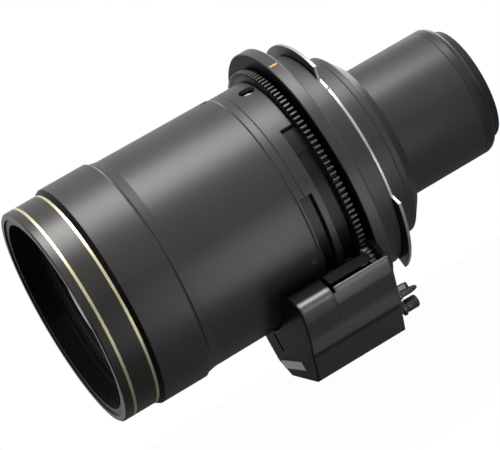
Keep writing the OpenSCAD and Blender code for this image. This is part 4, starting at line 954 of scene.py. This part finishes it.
# curves of the two faces are shares of the front curve, and a negative one is hollow
lensSets = {
    "frontGlassLens": {
        "radius": frontLensRadius, "land": 2.0, "y": (-123.5, -119.3), "curveShares": (1.0, -2.2),
        "node": "front_lens", "body": "front_group"},
    "rearGlassLens": {
        "radius": 27.4, "land": 0.6, "y": (79.9, 82.9), "curveShares": (-1.6, 1.5),
        "node": "rear_lens", "body": "lens_body"},
}
lensRings = 28
lensSides = 144
lensSharp = 18


def lensProfile(values):
    # two curved faces inside a flat land, joined by the lens's rim
    clear = values["radius"] - values["land"]
    sides = []
    for y, share, outward in zip(values["y"], values["curveShares"], (-1, 1)):
        big = abs(share) * frontCurve
        side = []
        for k in range(lensRings + 1):
            r = clear * k / lensRings
            lift = math.sqrt(big * big - r * r) - math.sqrt(big * big - clear * clear)
            side.append((r, y + outward * math.copysign(lift, share)))
        sides.append(side)
    return sides[0] + [(values["radius"], y) for y in values["y"]] + sides[1][::-1]


def makeLens(name, values):
    mesh = tidyMesh(latheMesh(name, lensProfile(values), lensSides), lensSharp)
    addPiece(name, mesh, values["body"], values["node"], ["frontGlass"])


for lensName, lensValues in lensSets.items():
    makeLens(lensName, lensValues)
print("lens faces made")


# drive housing

coverSet = {
    "node": "drive_cover",
    "mergeDistance": 0.005,
    "flatAngle": 0.4,
    "sharp": 38,
}


def makeCover(values):
    # the CAD node's shape with its corners merged and its flat faces whole
    work = bmesh.new()
    work.from_mesh(nodes[values["node"]].data)
    bmesh.ops.remove_doubles(work, verts=work.verts, dist=values["mergeDistance"] * mm)
    bmesh.ops.dissolve_limit(work, angle_limit=math.radians(values["flatAngle"]), verts=work.verts,
                             edges=work.edges)
    work.verts.index_update()
    points = [tuple(corner.co) for corner in work.verts]
    faces = [[corner.index for corner in face.verts] for face in work.faces]
    work.free()
    mesh = bpy.data.meshes.new("coverShape")
    mesh.from_pydata(points, [], faces)
    shape = tidyMesh(mesh, values["sharp"])
    addPiece("driveCover", shape, "lens_body", values["node"], ["coverPlastic"])


# shares are parts of the housing's depth, everything else is in millimetres
connectorSet = {
    "depth": 81.9,
    "plateShares": [(0.40, -0.80), (0.44, -0.83), (0.36, -0.96), (0.05, -1.0), (0.05, -0.90)],
    "plateY": (-7.2, -4.6),
    "plateRound": (0.7, 3),
    "sink": 0.3,
    # foot: past the peg's radius and over the plate; tip: past the radius and from the peg's end
    "post": {"shares": [(0.33, -0.935)], "radius": 3.2, "end": 3.8, "sides": 48,
             "foot": [(0.7, 0.8), (0.3, 1.2), (-0.5, 1.2), (-0.5, 2.2), (0.0, 2.2)],
             "tip": [(0.0, -1.0), (-0.3, -0.3), (-1.0, 0.0)]},
    "pin": {"shares": [(0.395, -0.862), (0.12, -0.945)], "radius": 1.6, "end": 5.2, "sides": 32,
            "foot": [(0.5, 0.9), (0.0, 1.3)],
            "tip": [(0.0, -3.5), (-0.448, -0.9), (-0.96, 0.0)]},
    # low and high corner from the contact block's place, rounding and look
    "contactShares": (0.33, -0.83),
    "contactBody": ((-9.0, -4.9, -1.45), (-0.15, 3.6, 1.45), 0.3, 0),
    "contactFace": ((-0.6, -4.4, -1.15), (0.0, 2.2, 1.1), 0.1, 1),
    "key": ((0.5, -4.9, -10.723), (2.6, -2.7, -7.923), 0.3, 0),
    "blade": ((-7.6, -3.8, -1.6), (-7.0, 0.8, -1.35), 0.05, 2),
    "blades": 5,
    "bladeStep": 1.55,
    "boxRound": 2,
    "sharp": 30,
    "wholeSharp": 32,
}


def roundedBox(name, low, high, width, values):
    # corners are counted from the contact block's place on the housing
    moveX, moveZ = [share * values["depth"] for share in values["contactShares"]]
    points = [(moveX + x, y, moveZ + z)
              for x in (low[0], high[0]) for y in (low[1], high[1]) for z in (low[2], high[2])]
    faces = [[0, 1, 3, 2], [4, 6, 7, 5], [0, 4, 5, 1], [2, 3, 7, 6], [0, 2, 6, 4], [1, 5, 7, 3]]
    return bevelled(name, tidyMesh(meshOf(name, points, faces), values["sharp"]), width, values["boxRound"])


def pegMeshes(name, values):
    depth, start = values["depth"], values["plateY"][1]
    peg = values[name]
    foot = [(peg["radius"] + more, start + up) for more, up in peg["foot"]]
    tip = [(peg["radius"] + more, peg["end"] + up) for more, up in peg["tip"]]
    base = start - values["sink"]
    profile = [(0, base), (foot[0][0], base)] + foot + tip + [(0, peg["end"])]
    return [latheMesh(name, profile, peg["sides"], (x * depth, z * depth)) for x, z in peg["shares"]]


def makeConnector(values):
    outline = [(x * values["depth"], z * values["depth"]) for x, z in values["plateShares"]]
    plate = tidyMesh(prismMesh("plate", outline, *values["plateY"]), values["sharp"])
    parts = [(bevelled("plate", plate, *values["plateRound"]), 0)]
    parts += [(mesh, 0) for mesh in pegMeshes("post", values) + pegMeshes("pin", values)]
    for name in ("contactBody", "contactFace", "key"):
        low, high, width, look = values[name]
        parts.append((roundedBox(name, low, high, width, values), look))
    low, high, width, look = values["blade"]
    for k in range(values["blades"]):
        move = k * values["bladeStep"]
        blade = roundedBox("blade", (low[0] + move, *low[1:]), (high[0] + move, *high[1:]), width, values)
        parts.append((blade, look))
    whole = tidyMesh(joinMeshes("connectorMesh", parts), values["wholeSharp"])
    addPiece("driveConnector", whole, "lens_body", "connector",
             ["connectorPlastic", "gearWhite", "brightSteel"])


makeCover(coverSet)
makeConnector(connectorSet)
print("housing made")
